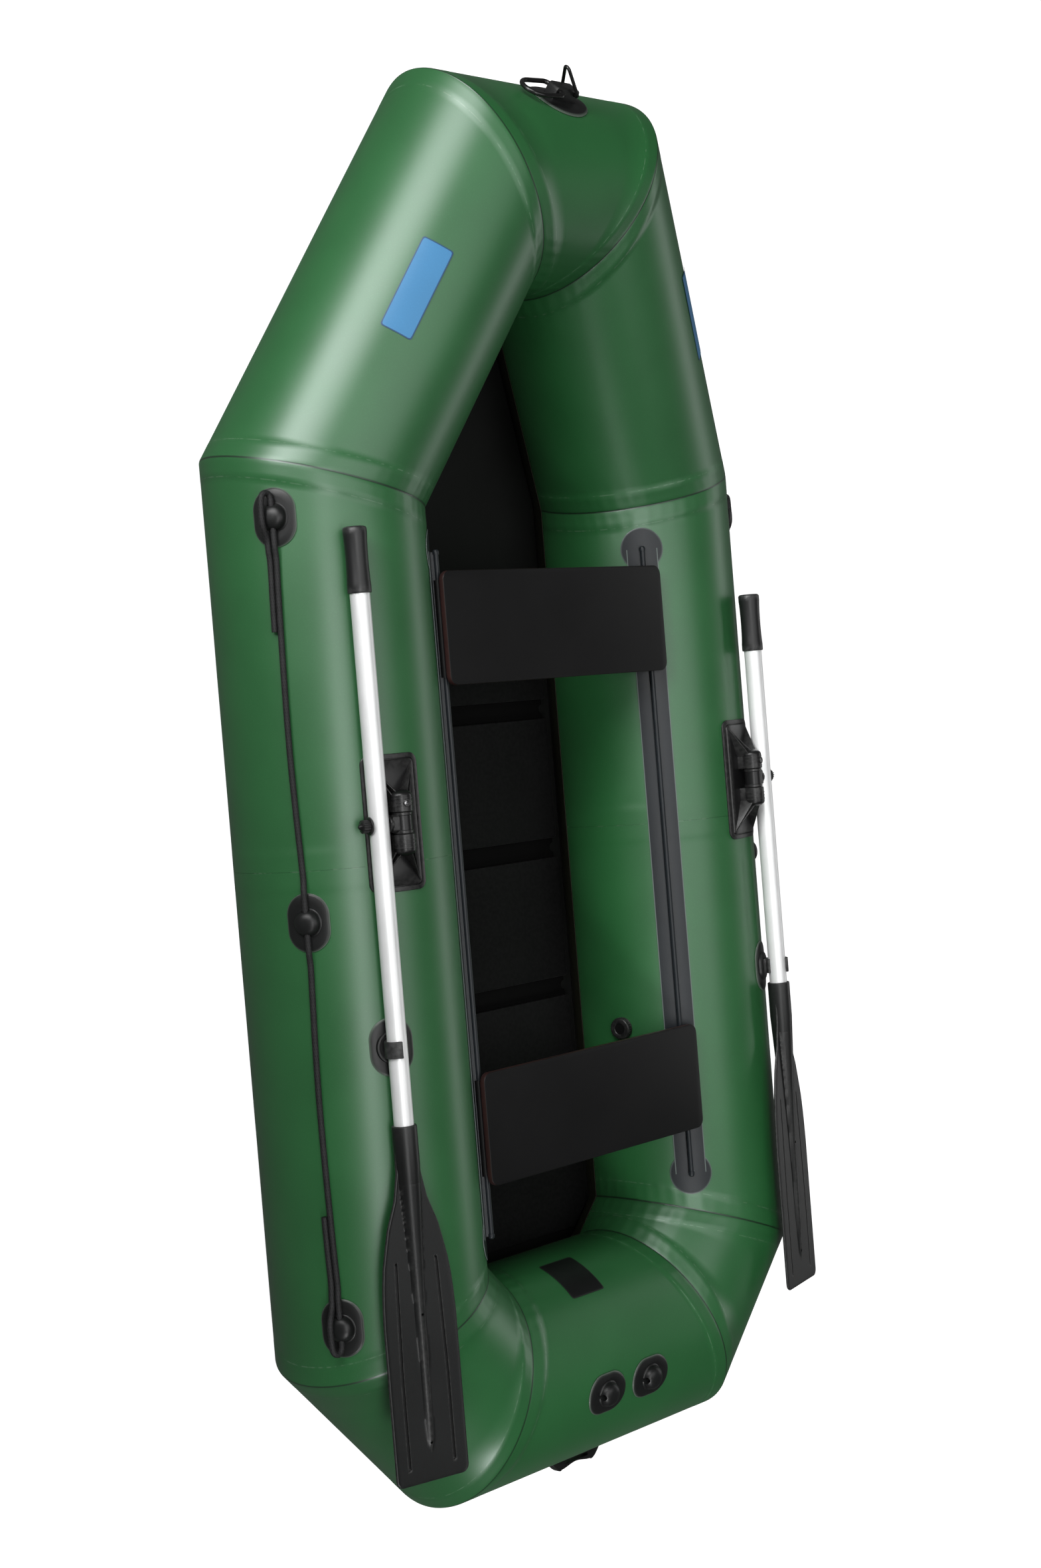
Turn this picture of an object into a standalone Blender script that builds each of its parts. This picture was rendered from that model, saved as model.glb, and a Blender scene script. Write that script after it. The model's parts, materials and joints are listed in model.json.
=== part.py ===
"""Two-seat inflatable rowing boat, afloat or on the ground, bow towards +Y.

The origin is on the centre plane at ground level, half way along the boat.
Every two-sided piece is modelled on the starboard side (+X) and mirrored to port.
"""

import math

import bmesh
import bpy
from mathutils import Matrix, Vector

# General fits
CLEARANCE = 0.0003
RUNNING_GAP = 0.0005
WELD_DISTANCE = 0.00002
EMPTY_SIZE = 0.030

# Facets of the round pieces
ROUND_SIDES = 20
SMALL_SIDES = 12
SPINE_SIDES = 20

# Buoyancy tube: one closed loop of straight runs, mitred at the corners
TUBE_RADIUS = 0.170
TUBE_WALL = 0.001
TUBE_SIDES = 40
HULL_HALF = 0.372
MID_SEAM_Y = -0.0793
SHOULDER_AHEAD = 0.580
BOW_AHEAD = 1.037
BOW_HALF = 0.122
BOW_RISE = 0.125
BOW_RADIUS = 0.1675
STERN_CORNER_ABAFT = 0.709
TRANSOM_ABAFT = 0.860
TRANSOM_HALF = 0.234

# Bulkheads that part the two air chambers
BULKHEAD_FLANGE = 0.024
BULKHEAD_FLANGE_WALL = 0.0012
BULKHEAD_WEB = 0.0012

# Bottom fabric and its flange up the tubes
BOTTOM_HEIGHT = 0.0510
BOTTOM_WALL = 0.001
FLANGE_TOP_HEIGHT = 0.100
FLANGE_STEPS = 4

# Slatted floor: boards on a fabric cover that hinges between them
COVER_WALL = 0.001
FLOOR_HALF = 0.227
PANEL_THICKNESS = 0.010
PANEL_LENGTH = 0.209
HINGE_GAP = 0.034
STERN_PANEL_LENGTH = 0.162
PANEL_CORNER = 0.006
STERN_CHAMFER = 0.034
FLOOR_END_ABAFT = 0.700
FLOOR_PANEL_COUNT = 5
HINGE_NOTCH = 0.008

# Glued pads: the stock's foot and depth as shares of the tube's radius, the sleeve that
# trims it to the round of the tube, and the corner of a pad with round ends
STOCK_FOOT = 0.6
STOCK_DEPTH = 0.5
SLEEVE_SIDES = 72
ROUND_END = 0.49

# Seat rails, glued inboard of the tube tops
RAIL_ANGLE = -45.0
RAIL_STRIP_WIDTH = 0.052
RAIL_STRIP_WALL = 0.0015
RAIL_STEM_WIDTH = 0.003
RAIL_BEAD_RADIUS = 0.004
RAIL_BEAD_LIFT = 0.010
RAIL_AFT = -0.600
RAIL_FORE = 0.464
RAIL_PAD_RADIUS = 0.036
RAIL_PAD_WALL = 0.0010

# Seats, sliding on the rail beads
SEAT_DEPTH = 0.176
SEAT_THICKNESS = 0.010
SEAT_CORNER = 0.015
SEAT_OVERHANG = 0.0128
SEAT_FRONT_Y = 0.3455
SEAT_REAR_Y = -0.4305
CHANNEL_WALL = 0.0025
CHANNEL_SLOT = 0.0045
CHANNEL_WEB = 0.003
CHANNEL_RISE = 0.0124
CHANNEL_FLANGE_WALL = 0.002
CHANNEL_FLANGE_OUT = 0.010
CHANNEL_FLANGE_IN = 0.030
CHANNEL_LENGTH = 0.150

# Oarlocks
OARLOCK_ANGLE = 14.0
OARLOCK_Y = 0.0605
OARLOCK_PAD_WIDTH = 0.096
OARLOCK_PAD_LENGTH = 0.205
OARLOCK_PAD_CORNER = 0.014
OARLOCK_PAD_WALL = 0.0025
OARLOCK_PANEL_INSET = 0.009
OARLOCK_PANEL_WALL = 0.0042
ROLL_AXIS_LIFT = 0.024
HOUSING_RADIUS = 0.017
HOUSING_LENGTH = 0.033
HOUSING_SADDLE = 0.028
HOUSING_DOME = 0.00935
BARREL_RADIUS = 0.015
BARREL_LENGTH = 0.0324
AXLE_RADIUS = 0.0047
AXLE_LENGTH = 0.090
GUSSET_WALL = 0.0022
GUSSET_REACH = 0.040
GUSSET_SPREAD = 0.036
GUSSET_EMBED = 0.0112
GUSSET_STARTS = ((0.00425, 0.01054), (0.01360, 0.00510))
NECK_LENGTH = 0.0259
NECK_WIDTH = 0.0195
NECK_EMBED = 0.0002
SHAFT_OFFSET = 0.040
COLLAR_RADIUS = 0.0115
COLLAR_WALL = 0.004
COLLAR_EMBED = 0.001
PIN_RADIUS = 0.0047
PIN_REACH = 0.00805
NUT_FLANGE_RADIUS = 0.0135
NUT_FLANGE_WALL = 0.0025
NUT_RADIUS = 0.010
NUT_BODY_LENGTH = 0.0115
NUT_TIP_LENGTH = 0.0057
NUT_SLOT = 0.0016
NUT_SLOT_LENGTH = 0.0092
NUT_EDGE = 0.001
NUT_RIM = 0.0004
NUT_CONE_RADIUS = 0.0052
NUT_CONE_FOOT = 0.0012
NUT_POINT_RADIUS = 0.0022

# Oars
SHAFT_RADIUS = 0.015
SHAFT_WALL = 0.0015
GRIP_RADIUS = 0.018
GRIP_WAIST = 0.0168
GRIP_LENGTH = 0.098
GRIP_CAP = 0.006
GRIP_EDGE = 0.003
GRIP_BAND = 0.012
GRIP_FLARE = 0.030
GRIP_STEP = 0.0005
PORT_GRIP_END = 0.499
STARBOARD_GRIP_END = 0.377
PORT_BLADE_START = -0.383
STARBOARD_BLADE_START = -0.300
SOCKET_DEPTH = 0.090
BLADE_LENGTH = 0.531
BLADE_WALL = 0.0042
BLADE_NECK_RADIUS = 0.019
BLADE_HALF = 0.062
BLADE_CORNER = 0.012
BLADE_EDGE = (
    (0.030, 0.0186), (0.070, 0.0209), (0.110, 0.0285), (0.150, 0.0434), (0.180, 0.0502),
    (0.205, 0.0555), (0.230, 0.0586), (0.255, 0.0605), (0.290, BLADE_HALF),
)
BLADE_RIB_END = 0.490
BLADE_RIB = (
    (BLADE_NECK_RADIUS, 0.0), (BLADE_NECK_RADIUS, 0.060), (0.0163, 0.120), (0.0137, 0.170),
    (0.0106, 0.240), (0.0087, 0.300), (0.0072, 0.420), (0.0057, 0.470), (0.0, BLADE_RIB_END),
)
BLADE_SLOT_WIDTH = 0.0026
BLADE_SLOT_DEPTH = 0.0014
BLADE_SLOT_CORNER = 0.0008
BLADE_SLOT_START = 0.200
BLADE_SLOT_END = 0.508
BLADE_SLOT_OFFSET = 0.034
BLADE_SLOT_SPLAY = 0.008
BLADE_HOLE_RADIUS = 0.002
BLADE_HOLES = (0.281, 0.473)

# Oar clips
CLIP_Y = -0.270
CLIP_PAD_WIDTH = 0.068
CLIP_PAD_LENGTH = 0.088
CLIP_PAD_WALL = 0.0025
CLIP_BOSS_RADIUS = 0.025
CLIP_BOSS_HEIGHT = 0.0060
CLIP_BOSS_EDGE = 0.003
CLIP_BOSS_STEP = 0.0016
CLIP_BOSS_DRAFT = 0.0006
CLIP_HOOK_LENGTH = 0.025
CLIP_HOOK_WALL = 0.0042
CLIP_HOOK_SWEEP = 187.0
CLIP_HOOK_SHORT = 52.0
CLIP_HOOK_FLARE = 25.0
CLIP_FOOT_IN = 0.0082
CLIP_FOOT_OUT = 0.0121

# Rope eyelets
EYELET_ANGLE = 62.5
EYELET_STATIONS = (0.523, -0.076, -0.682)
EYELET_PAD_WIDTH = 0.067
EYELET_PAD_LENGTH = 0.088
EYELET_PAD_WALL = 0.003
EYELET_DOME_RADIUS = 0.020
EYELET_DOME_HEIGHT = 0.018
EYELET_HOLE_RADIUS = 0.0055
EYELET_HOLE_HEIGHT = 0.0085
DOME_SIDES = 16
DOME_STEPS = 4
DOME_POWER = 2.6
STERN_EYELET_ANGLE = 11.0
STERN_EYELET_X = 0.053

# Lifelines
ROPE_RADIUS = 0.00425
ROPE_STEP = 0.060

# Valves
VALVE_ANGLE = -79.0
STERN_VALVE_Y = -0.347
BOW_VALVE_Y = 0.300
VALVE_BARREL_RADIUS = 0.012
VALVE_BORE = 0.0085
VALVE_FLANGE_RADIUS = 0.023
VALVE_FLANGE_WALL = 0.0018
VALVE_STAND = 0.0045
VALVE_DEPTH = 0.026
VALVE_SEAT_WALL = 0.002
VALVE_GUIDE_RADIUS = 0.0030
VALVE_STEP = 0.001
VALVE_FLANGE_DROP = 0.00125
VALVE_VENT_RADIUS = 0.0018
VALVE_CAP_RADIUS = 0.019
VALVE_CAP_HEIGHT = 0.0105
VALVE_CAP_WALL = 0.002
VALVE_CAP_RIBS = 12
VALVE_CAP_EDGE = 0.003
VALVE_CAP_CORNER = 0.0008
VALVE_CAP_STEP = 0.0012
VALVE_FLUTE_RADIUS = 0.0014
VALVE_FLUTE_OUT = 0.0004
PLUNGER_STEM_RADIUS = 0.0022
PLUNGER_HEAD_RADIUS = 0.0070
PLUNGER_HEAD_WALL = 0.0015
PLUNGER_SINK = 0.002
PLUNGER_EDGE = 0.0005
PLUNGER_TAIL = 0.004
SPRING_RADIUS = 0.0048
SPRING_WIRE = 0.0005
SPRING_TURNS = 3
SPRING_STEPS = 8

# Bow bracket and its two rings
BOW_PATCH_ANGLE = -48.1
BOW_PATCH_WIDTH = 0.112
BOW_PATCH_DEPTH = 0.088
BOW_PATCH_WALL = 0.003
BRACKET_LENGTH = 0.052
BRACKET_WIDTH = 0.024
BRACKET_HEIGHT = 0.024
BRACKET_EDGE = 0.001
BRACKET_CHAMFER = 0.005
BRACKET_SHOULDER = 0.006
RING_HOLE_X = 0.0170
RING_HOLE_HEIGHT = 0.0160
ROUND_RING_ROD = 0.00375
ROUND_RING_LENGTH = 0.066
ROUND_RING_HALF = 0.024
ROUND_RING_DROOP = -5.0
ROUND_RING_BEND = 0.0095
TRIANGLE_RING_ROD = 0.00275
TRIANGLE_RING_LENGTH = 0.049
TRIANGLE_RING_HALF = 0.019
TRIANGLE_RING_LEAN = 50.0
TRIANGLE_RING_BEND = 0.005
TRIANGLE_RING_TIP = 0.006
TRIANGLE_RING_SLOPE = 25.0

# Stern carrying handle
HANDLE_RISE = 0.030
HANDLE_HALF = 0.058
HANDLE_HEIGHT = 0.025
HANDLE_LOBE_X = 0.036
HANDLE_LOBE = 0.0152
HANDLE_EDGE = 0.0016
HANDLE_WAIST = 0.0100
HANDLE_SLOT_HALF = 0.029
HANDLE_SLOT = 0.0052
HANDLE_SLOT_LIFT = 0.0022
HANDLE_SLOT_CORNER = 0.0025

ALONG_X = Matrix.Rotation(math.pi / 2, 4, "Y")
ALONG_Y = Matrix.Rotation(-math.pi / 2, 4, "X")
FLIP_X = Matrix.Scale(-1.0, 4, (1.0, 0.0, 0.0))
STARBOARD = "right"
PORT = "left"
SIDES = (STARBOARD, PORT)

for old_object in list(bpy.data.objects):
    bpy.data.objects.remove(old_object, do_unlink=True)

PARTS = bpy.data.collections.new("inflatable_boat")
CUTTERS = bpy.data.collections.new("cutters")
bpy.context.scene.collection.children.link(PARTS)
bpy.context.scene.collection.children.link(CUTTERS)


def make_material(name, colour, roughness, metallic=0.0):
    """A plain Principled material."""
    material = bpy.data.materials.new(name)
    material.use_nodes = True
    shader = material.node_tree.nodes["Principled BSDF"]
    shader.inputs["Base Color"].default_value = (*colour, 1.0)
    shader.inputs["Roughness"].default_value = roughness
    shader.inputs["Metallic"].default_value = metallic
    material.diffuse_color = (*colour, 1.0)
    return material


GREEN_FABRIC = make_material("green_hull_fabric", (0.045, 0.145, 0.055), 0.45)
OLIVE_FABRIC = make_material("olive_bottom_fabric", (0.085, 0.080, 0.035), 0.55)
BLACK_FABRIC = make_material("black_floor_fabric", (0.012, 0.012, 0.012), 0.80)
FLOOR_BOARD = make_material("black_floor_board", (0.014, 0.014, 0.015), 0.55)
SEAT_BOARD = make_material("black_seat_board", (0.012, 0.012, 0.013), 0.50)
RAIL_RUBBER = make_material("rail_rubber", (0.030, 0.034, 0.040), 0.50)
PAD_RUBBER = make_material("pad_rubber", (0.020, 0.020, 0.022), 0.60)
BLACK_PLASTIC = make_material("black_plastic", (0.014, 0.014, 0.014), 0.45)
GRIP_RUBBER = make_material("grip_rubber", (0.018, 0.018, 0.018), 0.65)
ALUMINIUM = make_material("bright_aluminium", (0.80, 0.80, 0.80), 0.28, 1.0)
STEEL = make_material("steel", (0.55, 0.55, 0.56), 0.30, 1.0)
ROPE_FIBRE = make_material("black_rope", (0.015, 0.015, 0.015), 0.85)


def add_object(name, mesh, frame, collection=CUTTERS):
    """Put a mesh in the scene at a frame; it stays a cutter until it is finished."""
    new_object = bpy.data.objects.new(name, mesh)
    new_object.matrix_world = frame
    new_object.hide_render = True
    new_object.display_type = "WIRE"
    collection.objects.link(new_object)
    return new_object


def evaluated_mesh(source):
    """The mesh of an object with its modifiers applied."""
    bpy.context.view_layer.update()
    graph = bpy.context.evaluated_depsgraph_get()
    return bpy.data.meshes.new_from_object(source.evaluated_get(graph))


def weld(mesh):
    """Join the loose caps of a converted curve and turn its faces outward."""
    working = bmesh.new()
    working.from_mesh(mesh)
    bmesh.ops.remove_doubles(working, verts=working.verts, dist=WELD_DISTANCE)
    bmesh.ops.recalc_face_normals(working, faces=working.faces)
    working.to_mesh(mesh)
    working.free()


def solid_from_curve(name, curve, frame):
    """Turn a filled or bevelled curve into a closed mesh object."""
    holder = bpy.data.objects.new(name + "_curve", curve)
    CUTTERS.objects.link(holder)
    mesh = evaluated_mesh(holder)
    weld(mesh)
    bpy.data.objects.remove(holder, do_unlink=True)
    return add_object(name, mesh, frame)


def prism(name, outline, base, depth, frame):
    """A flat outline in the frame's XY plane, standing from base to base + depth along Z."""
    curve = bpy.data.curves.new(name, "CURVE")
    curve.dimensions = "2D"
    curve.fill_mode = "BOTH"
    curve.extrude = depth / 2
    spline = curve.splines.new("POLY")
    spline.points.add(len(outline) - 1)
    for point, (x, y) in zip(spline.points, outline):
        point.co = (x, y, 0.0, 1.0)
    spline.use_cyclic_u = True
    return solid_from_curve(name, curve, frame @ Matrix.Translation((0, 0, base + depth / 2)))


def rod(name, points, radius, frame, closed=False, sides=8):
    """A round rod along points, its ends capped unless it is a closed ring."""
    curve = bpy.data.curves.new(name, "CURVE")
    curve.dimensions = "3D"
    curve.bevel_depth = radius
    curve.bevel_resolution = (sides - 4) // 2
    curve.use_fill_caps = not closed
    spline = curve.splines.new("POLY")
    spline.points.add(len(points) - 1)
    for point, place in zip(spline.points, points):
        point.co = (*place, 1.0)
    spline.use_cyclic_u = closed
    return solid_from_curve(name, curve, frame)


def turned(name, profile, frame, sides, ring=False):
    """A turned shape: (radius, height) pairs run down its outer side, round the frame's Z."""
    mesh = bpy.data.meshes.new(name)
    count = len(profile)
    edges = [(index, index + 1) for index in range(count - 1)]
    if ring:
        edges.append((count - 1, 0))
    mesh.from_pydata([(radius, 0.0, height) for radius, height in profile], edges, [])
    new_object = add_object(name, mesh, frame)
    screw = new_object.modifiers.new("turn", "SCREW")
    screw.axis = "Z"
    screw.steps = sides
    screw.render_steps = sides
    screw.use_merge_vertices = True
    screw.merge_threshold = WELD_DISTANCE / 2
    screw.use_smooth_shade = True
    return new_object


def cylinder(name, radius, low, high, frame, sides):
    """A plain cylinder along the frame's Z, from low to high."""
    return turned(name, [(0.0, high), (radius, high), (radius, low), (0.0, low)], frame, sides)


def box(name, size, centre, frame):
    """A box of a size about a centre in the frame."""
    mesh = bpy.data.meshes.new(name)
    working = bmesh.new()
    bmesh.ops.create_cube(working, size=1.0)
    bmesh.ops.scale(working, vec=size, verts=working.verts)
    bmesh.ops.translate(working, vec=centre, verts=working.verts)
    working.to_mesh(mesh)
    working.free()
    return add_object(name, mesh, frame)


def combine(target, operand, operation):
    """Join, cut or trim a shape with another through a Boolean modifier."""
    modifier = target.modifiers.new(operation.lower(), "BOOLEAN")
    modifier.operation = operation
    modifier.solver = "EXACT"
    modifier.object = operand
    return target


def round_edges(target, width, segments=2):
    """Bevel the sharp edges of a shape."""
    bevel = target.modifiers.new("edges", "BEVEL")
    bevel.width = width
    bevel.segments = segments
    bevel.limit_method = "ANGLE"
    bevel.angle_limit = math.radians(40)
    return target


def remove_with_cutters(shape):
    """Remove a shape and the cutters that only it uses."""
    operands = [modifier.object for modifier in shape.modifiers if modifier.type == "BOOLEAN"]
    bpy.data.objects.remove(shape, do_unlink=True)
    for operand in operands:
        remove_with_cutters(operand)


def mirror_to_port(shape):
    """Replace a starboard shape by its port twin, as one plain mesh."""
    mesh = evaluated_mesh(shape)
    frame = shape.matrix_world.copy()
    origin = FLIP_X @ frame.translation
    mesh.transform(Matrix.Translation(-origin) @ FLIP_X @ frame)
    mesh.flip_normals()
    twin = add_object(shape.name + "_twin", mesh, Matrix.Translation(origin))
    remove_with_cutters(shape)
    return twin


def finish(shape, name, material, carrier=None, side=STARBOARD):
    """Give a finished piece its side, name, material, smooth rounds and carrier."""
    if side == PORT:
        shape = mirror_to_port(shape)
    shape.name = name
    shape.data.materials.clear()
    shape.data.materials.append(material)
    shape.data.shade_smooth()
    shape.data.set_sharp_from_angle(angle=math.radians(35))
    shape.hide_render = False
    shape.display_type = "TEXTURED"
    CUTTERS.objects.unlink(shape)
    PARTS.objects.link(shape)
    if carrier is not None:
        shape.parent = carrier
        shape.matrix_parent_inverse = carrier.matrix_world.inverted()
    return shape


def joint_empty(name, place):
    """An empty that stands on a joint's axis and carries the pieces that move with it."""
    empty = bpy.data.objects.new(name, None)
    empty.empty_display_size = EMPTY_SIZE
    empty.location = place
    PARTS.objects.link(empty)
    bpy.context.view_layer.update()
    return empty


def arc(centre, radius, start, end, steps):
    """Points on an arc, angles in degrees from the first axis."""
    points = []
    for index in range(steps + 1):
        angle = math.radians(start + (end - start) * index / steps)
        points.append((centre[0] + radius * math.cos(angle), centre[1] + radius * math.sin(angle)))
    return points


def rounded_rectangle(width, length, corner, steps=3):
    """A rectangle with rounded corners, centred, width along the first axis."""
    x = width / 2 - corner
    y = length / 2 - corner
    outline = arc((x, y), corner, 0, 90, steps)
    outline += arc((-x, y), corner, 90, 180, steps)
    outline += arc((-x, -y), corner, 180, 270, steps)
    outline += arc((x, -y), corner, 270, 360, steps)
    return outline


def oval(width, length, steps=24):
    """An ellipse, centred, width along the first axis."""
    turns = [2 * math.pi * index / steps for index in range(steps)]
    return [(width / 2 * math.cos(turn), length / 2 * math.sin(turn)) for turn in turns]


def side_frame(angle, ahead):
    """On the starboard tube's axis: Z looks out of the tube at an angle outboard of upright.

    X runs round the tube, outboard and down, and Y runs towards the bow.
    """
    turn = math.radians(angle)
    frame = Matrix.Identity(4)
    frame.col[0] = (math.cos(turn), 0.0, -math.sin(turn), 0.0)
    frame.col[1] = (0.0, 1.0, 0.0, 0.0)
    frame.col[2] = (math.sin(turn), 0.0, math.cos(turn), 0.0)
    frame.col[3] = (HULL_HALF, MID_SEAM_Y + ahead, TUBE_RADIUS, 1.0)
    return frame


def cross_frame(centre, angle, across):
    """On the axis of a tube that lies across the boat: Z looks out, aft of upright by an angle.

    X runs round the tube, aft and down, and Y runs to starboard along it.
    """
    turn = math.radians(angle)
    frame = Matrix.Identity(4)
    frame.col[0] = (0.0, -math.cos(turn), -math.sin(turn), 0.0)
    frame.col[1] = (1.0, 0.0, 0.0, 0.0)
    frame.col[2] = (0.0, -math.sin(turn), math.cos(turn), 0.0)
    frame.col[3] = (across, centre[0], centre[1], 1.0)
    return frame


STERN_CENTRE = (MID_SEAM_Y - TRANSOM_ABAFT, TUBE_RADIUS)
BOW_CENTRE = (MID_SEAM_Y + BOW_AHEAD, TUBE_RADIUS + BOW_RISE)
ROLL_AXIS_RADIUS = TUBE_RADIUS + ROLL_AXIS_LIFT
SHAFT_AXIS_ANGLE = OARLOCK_ANGLE + math.degrees(math.atan2(SHAFT_OFFSET, ROLL_AXIS_RADIUS))
SHAFT_AXIS_RADIUS = math.hypot(SHAFT_OFFSET, ROLL_AXIS_RADIUS)


def glued_pad(name, outline, wall, frame, radius=TUBE_RADIUS, lift=CLEARANCE):
    """A pad cut to an outline and bent to the round of the tube that it is glued on."""
    reach = 2 * max(math.hypot(x, y) for x, y in outline)
    stock = prism(name, outline, radius * STOCK_FOOT, radius * STOCK_DEPTH, frame)
    inner = radius + lift
    outer = inner + wall
    section = [(outer, reach), (outer, -reach), (inner, -reach), (inner, reach)]
    sleeve = turned(name + "_sleeve", section, frame @ ALONG_Y, SLEEVE_SIDES, ring=True)
    return combine(stock, sleeve, "INTERSECT")


def reflect(vector, normal):
    """A direction mirrored in a mitre plane."""
    return vector - 2 * vector.dot(normal) * normal


def slide_to_plane(offset, run, normal):
    """Move an offset from a tube's axis along the tube until it lies in the mitre plane."""
    return offset - (offset.dot(normal) / run.dot(normal)) * run


def tube_stations(towards_bow):
    """The corners of half the starboard tube, from the mid seam outward, with their radii."""
    if towards_bow:
        return [
            (Vector((HULL_HALF, MID_SEAM_Y, TUBE_RADIUS)), TUBE_RADIUS),
            (Vector((HULL_HALF, MID_SEAM_Y + SHOULDER_AHEAD, TUBE_RADIUS)), TUBE_RADIUS),
            (Vector((BOW_HALF, *BOW_CENTRE)), BOW_RADIUS),
            (Vector((-BOW_HALF, *BOW_CENTRE)), BOW_RADIUS),
        ]
    return [
        (Vector((HULL_HALF, MID_SEAM_Y, TUBE_RADIUS)), TUBE_RADIUS),
        (Vector((HULL_HALF, MID_SEAM_Y - STERN_CORNER_ABAFT, TUBE_RADIUS)), TUBE_RADIUS),
        (Vector((TRANSOM_HALF, *STERN_CENTRE)), TUBE_RADIUS),
        (Vector((-TRANSOM_HALF, *STERN_CENTRE)), TUBE_RADIUS),
    ]


def tube_sections(towards_bow, angles, proud=0.0):
    """Cross-sections of the starboard tube at its corners, each lying in its mitre plane.

    Angles are in degrees, from outboard, rising over the top of the tube.
    """
    stations = tube_stations(towards_bow)
    offsets = []
    for angle in angles:
        turn = math.radians(angle)
        offsets.append(Vector((math.cos(turn), 0.0, math.sin(turn))))
    sections = [[stations[0][0] + (stations[0][1] + proud) * offset for offset in offsets]]
    for index in range(1, len(stations) - 1):
        corner, radius = stations[index]
        arriving = (corner - stations[index - 1][0]).normalized()
        leaving = (stations[index + 1][0] - corner).normalized()
        mitre = (arriving + leaving).normalized()
        slid = [slide_to_plane(offset, arriving, mitre) for offset in offsets]
        sections.append([corner + (radius + proud) * offset for offset in slid])
        offsets = [reflect(offset, mitre) for offset in offsets]
    return sections


def mirrored_sections(sections):
    """The same cross-sections on the port side."""
    return [[Vector((-point.x, point.y, point.z)) for point in section] for section in sections]


def build_chamber(name, towards_bow, valve_hole):
    """One air chamber: a U of fabric tube that ends at the mid seam on both sides."""
    angles = [360.0 * index / TUBE_SIDES for index in range(TUBE_SIDES)]
    starboard = tube_sections(towards_bow, angles)
    seam_shift = CLEARANCE / 2 if towards_bow else -CLEARANCE / 2
    for point in starboard[0]:
        point.y += seam_shift
    port = mirrored_sections(starboard)
    sections = starboard + list(reversed(port))
    working = bmesh.new()
    rings = [[working.verts.new(point) for point in section] for section in sections]
    for first, second in zip(rings, rings[1:]):
        for index in range(TUBE_SIDES):
            following = (index + 1) % TUBE_SIDES
            loop = [first[index], first[following], second[following], second[index]]
            if towards_bow:
                loop.reverse()
            working.faces.new(loop)
    working.normal_update()
    mesh = bpy.data.meshes.new(name)
    working.to_mesh(mesh)
    working.free()
    chamber = add_object(name, mesh, Matrix.Identity(4))
    skin = chamber.modifiers.new("fabric", "SOLIDIFY")
    skin.thickness = TUBE_WALL
    skin.offset = -1.0
    skin.use_even_offset = True
    combine(chamber, valve_hole, "DIFFERENCE")
    return finish(chamber, name, GREEN_FABRIC)


def build_bulkhead(side):
    """A disc with a flange both ways, welded inside the tube where the chambers meet."""
    spread = math.cos(math.pi / TUBE_SIDES)
    outer = TUBE_RADIUS - (TUBE_WALL + CLEARANCE) / spread
    inner = outer - BULKHEAD_FLANGE_WALL
    half_web = BULKHEAD_WEB / 2
    profile = [
        (0.0, half_web), (inner, half_web), (inner, BULKHEAD_FLANGE), (outer, BULKHEAD_FLANGE),
        (outer, -BULKHEAD_FLANGE), (inner, -BULKHEAD_FLANGE), (inner, -half_web), (0.0, -half_web),
    ]
    disc = turned("bulkhead", profile, side_frame(0.0, 0.0) @ ALONG_Y, TUBE_SIDES)
    return finish(disc, "bulkhead_" + side, GREEN_FABRIC, side=side)


def build_bottom():
    """The bottom fabric, and its flange that runs up the tubes all round the well."""
    low = math.degrees(math.asin((TUBE_RADIUS - BOTTOM_HEIGHT) / (TUBE_RADIUS + CLEARANCE)))
    high = math.degrees(math.asin((TUBE_RADIUS - FLANGE_TOP_HEIGHT) / TUBE_RADIUS))
    angles = [180.0 + low + (high - low) * index / FLANGE_STEPS for index in range(FLANGE_STEPS + 1)]
    bow = tube_sections(True, angles, CLEARANCE)[1:]
    stern = tube_sections(False, angles, CLEARANCE)[1:]
    starboard = list(reversed(bow)) + stern
    sections = starboard + list(reversed(mirrored_sections(starboard)))
    working = bmesh.new()
    rings = [[working.verts.new(point) for point in section] for section in sections]
    for first, second in zip(rings, rings[1:] + rings[:1]):
        for index in range(FLANGE_STEPS):
            working.faces.new([first[index], second[index], second[index + 1], first[index + 1]])
    feet = [ring[0] for ring in rings]
    bow_foot = [feet[0], feet[1], feet[-2], feet[-1]]
    working.faces.new(list(reversed(bow_foot)))
    working.faces.new(list(reversed(feet[1:-1])))
    bmesh.ops.recalc_face_normals(working, faces=working.faces)
    if sum(face.normal.z * face.calc_area() for face in working.faces) < 0:
        bmesh.ops.reverse_faces(working, faces=working.faces)
    mesh = bpy.data.meshes.new("bottom_sheet")
    working.to_mesh(mesh)
    working.free()
    sheet = add_object("bottom_sheet", mesh, Matrix.Identity(4))
    skin = sheet.modifiers.new("fabric", "SOLIDIFY")
    skin.thickness = BOTTOM_WALL
    skin.offset = 1.0
    skin.use_even_offset = True
    return finish(sheet, "bottom_sheet", OLIVE_FABRIC)


def panel_spans():
    """The fore-and-aft span of each floor board, from the stern, relative to the mid seam."""
    spans = []
    aft = -FLOOR_END_ABAFT
    for index in range(FLOOR_PANEL_COUNT):
        length = STERN_PANEL_LENGTH if index == 0 else PANEL_LENGTH
        spans.append((aft, aft + length))
        aft += length + HINGE_GAP
    return spans


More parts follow.
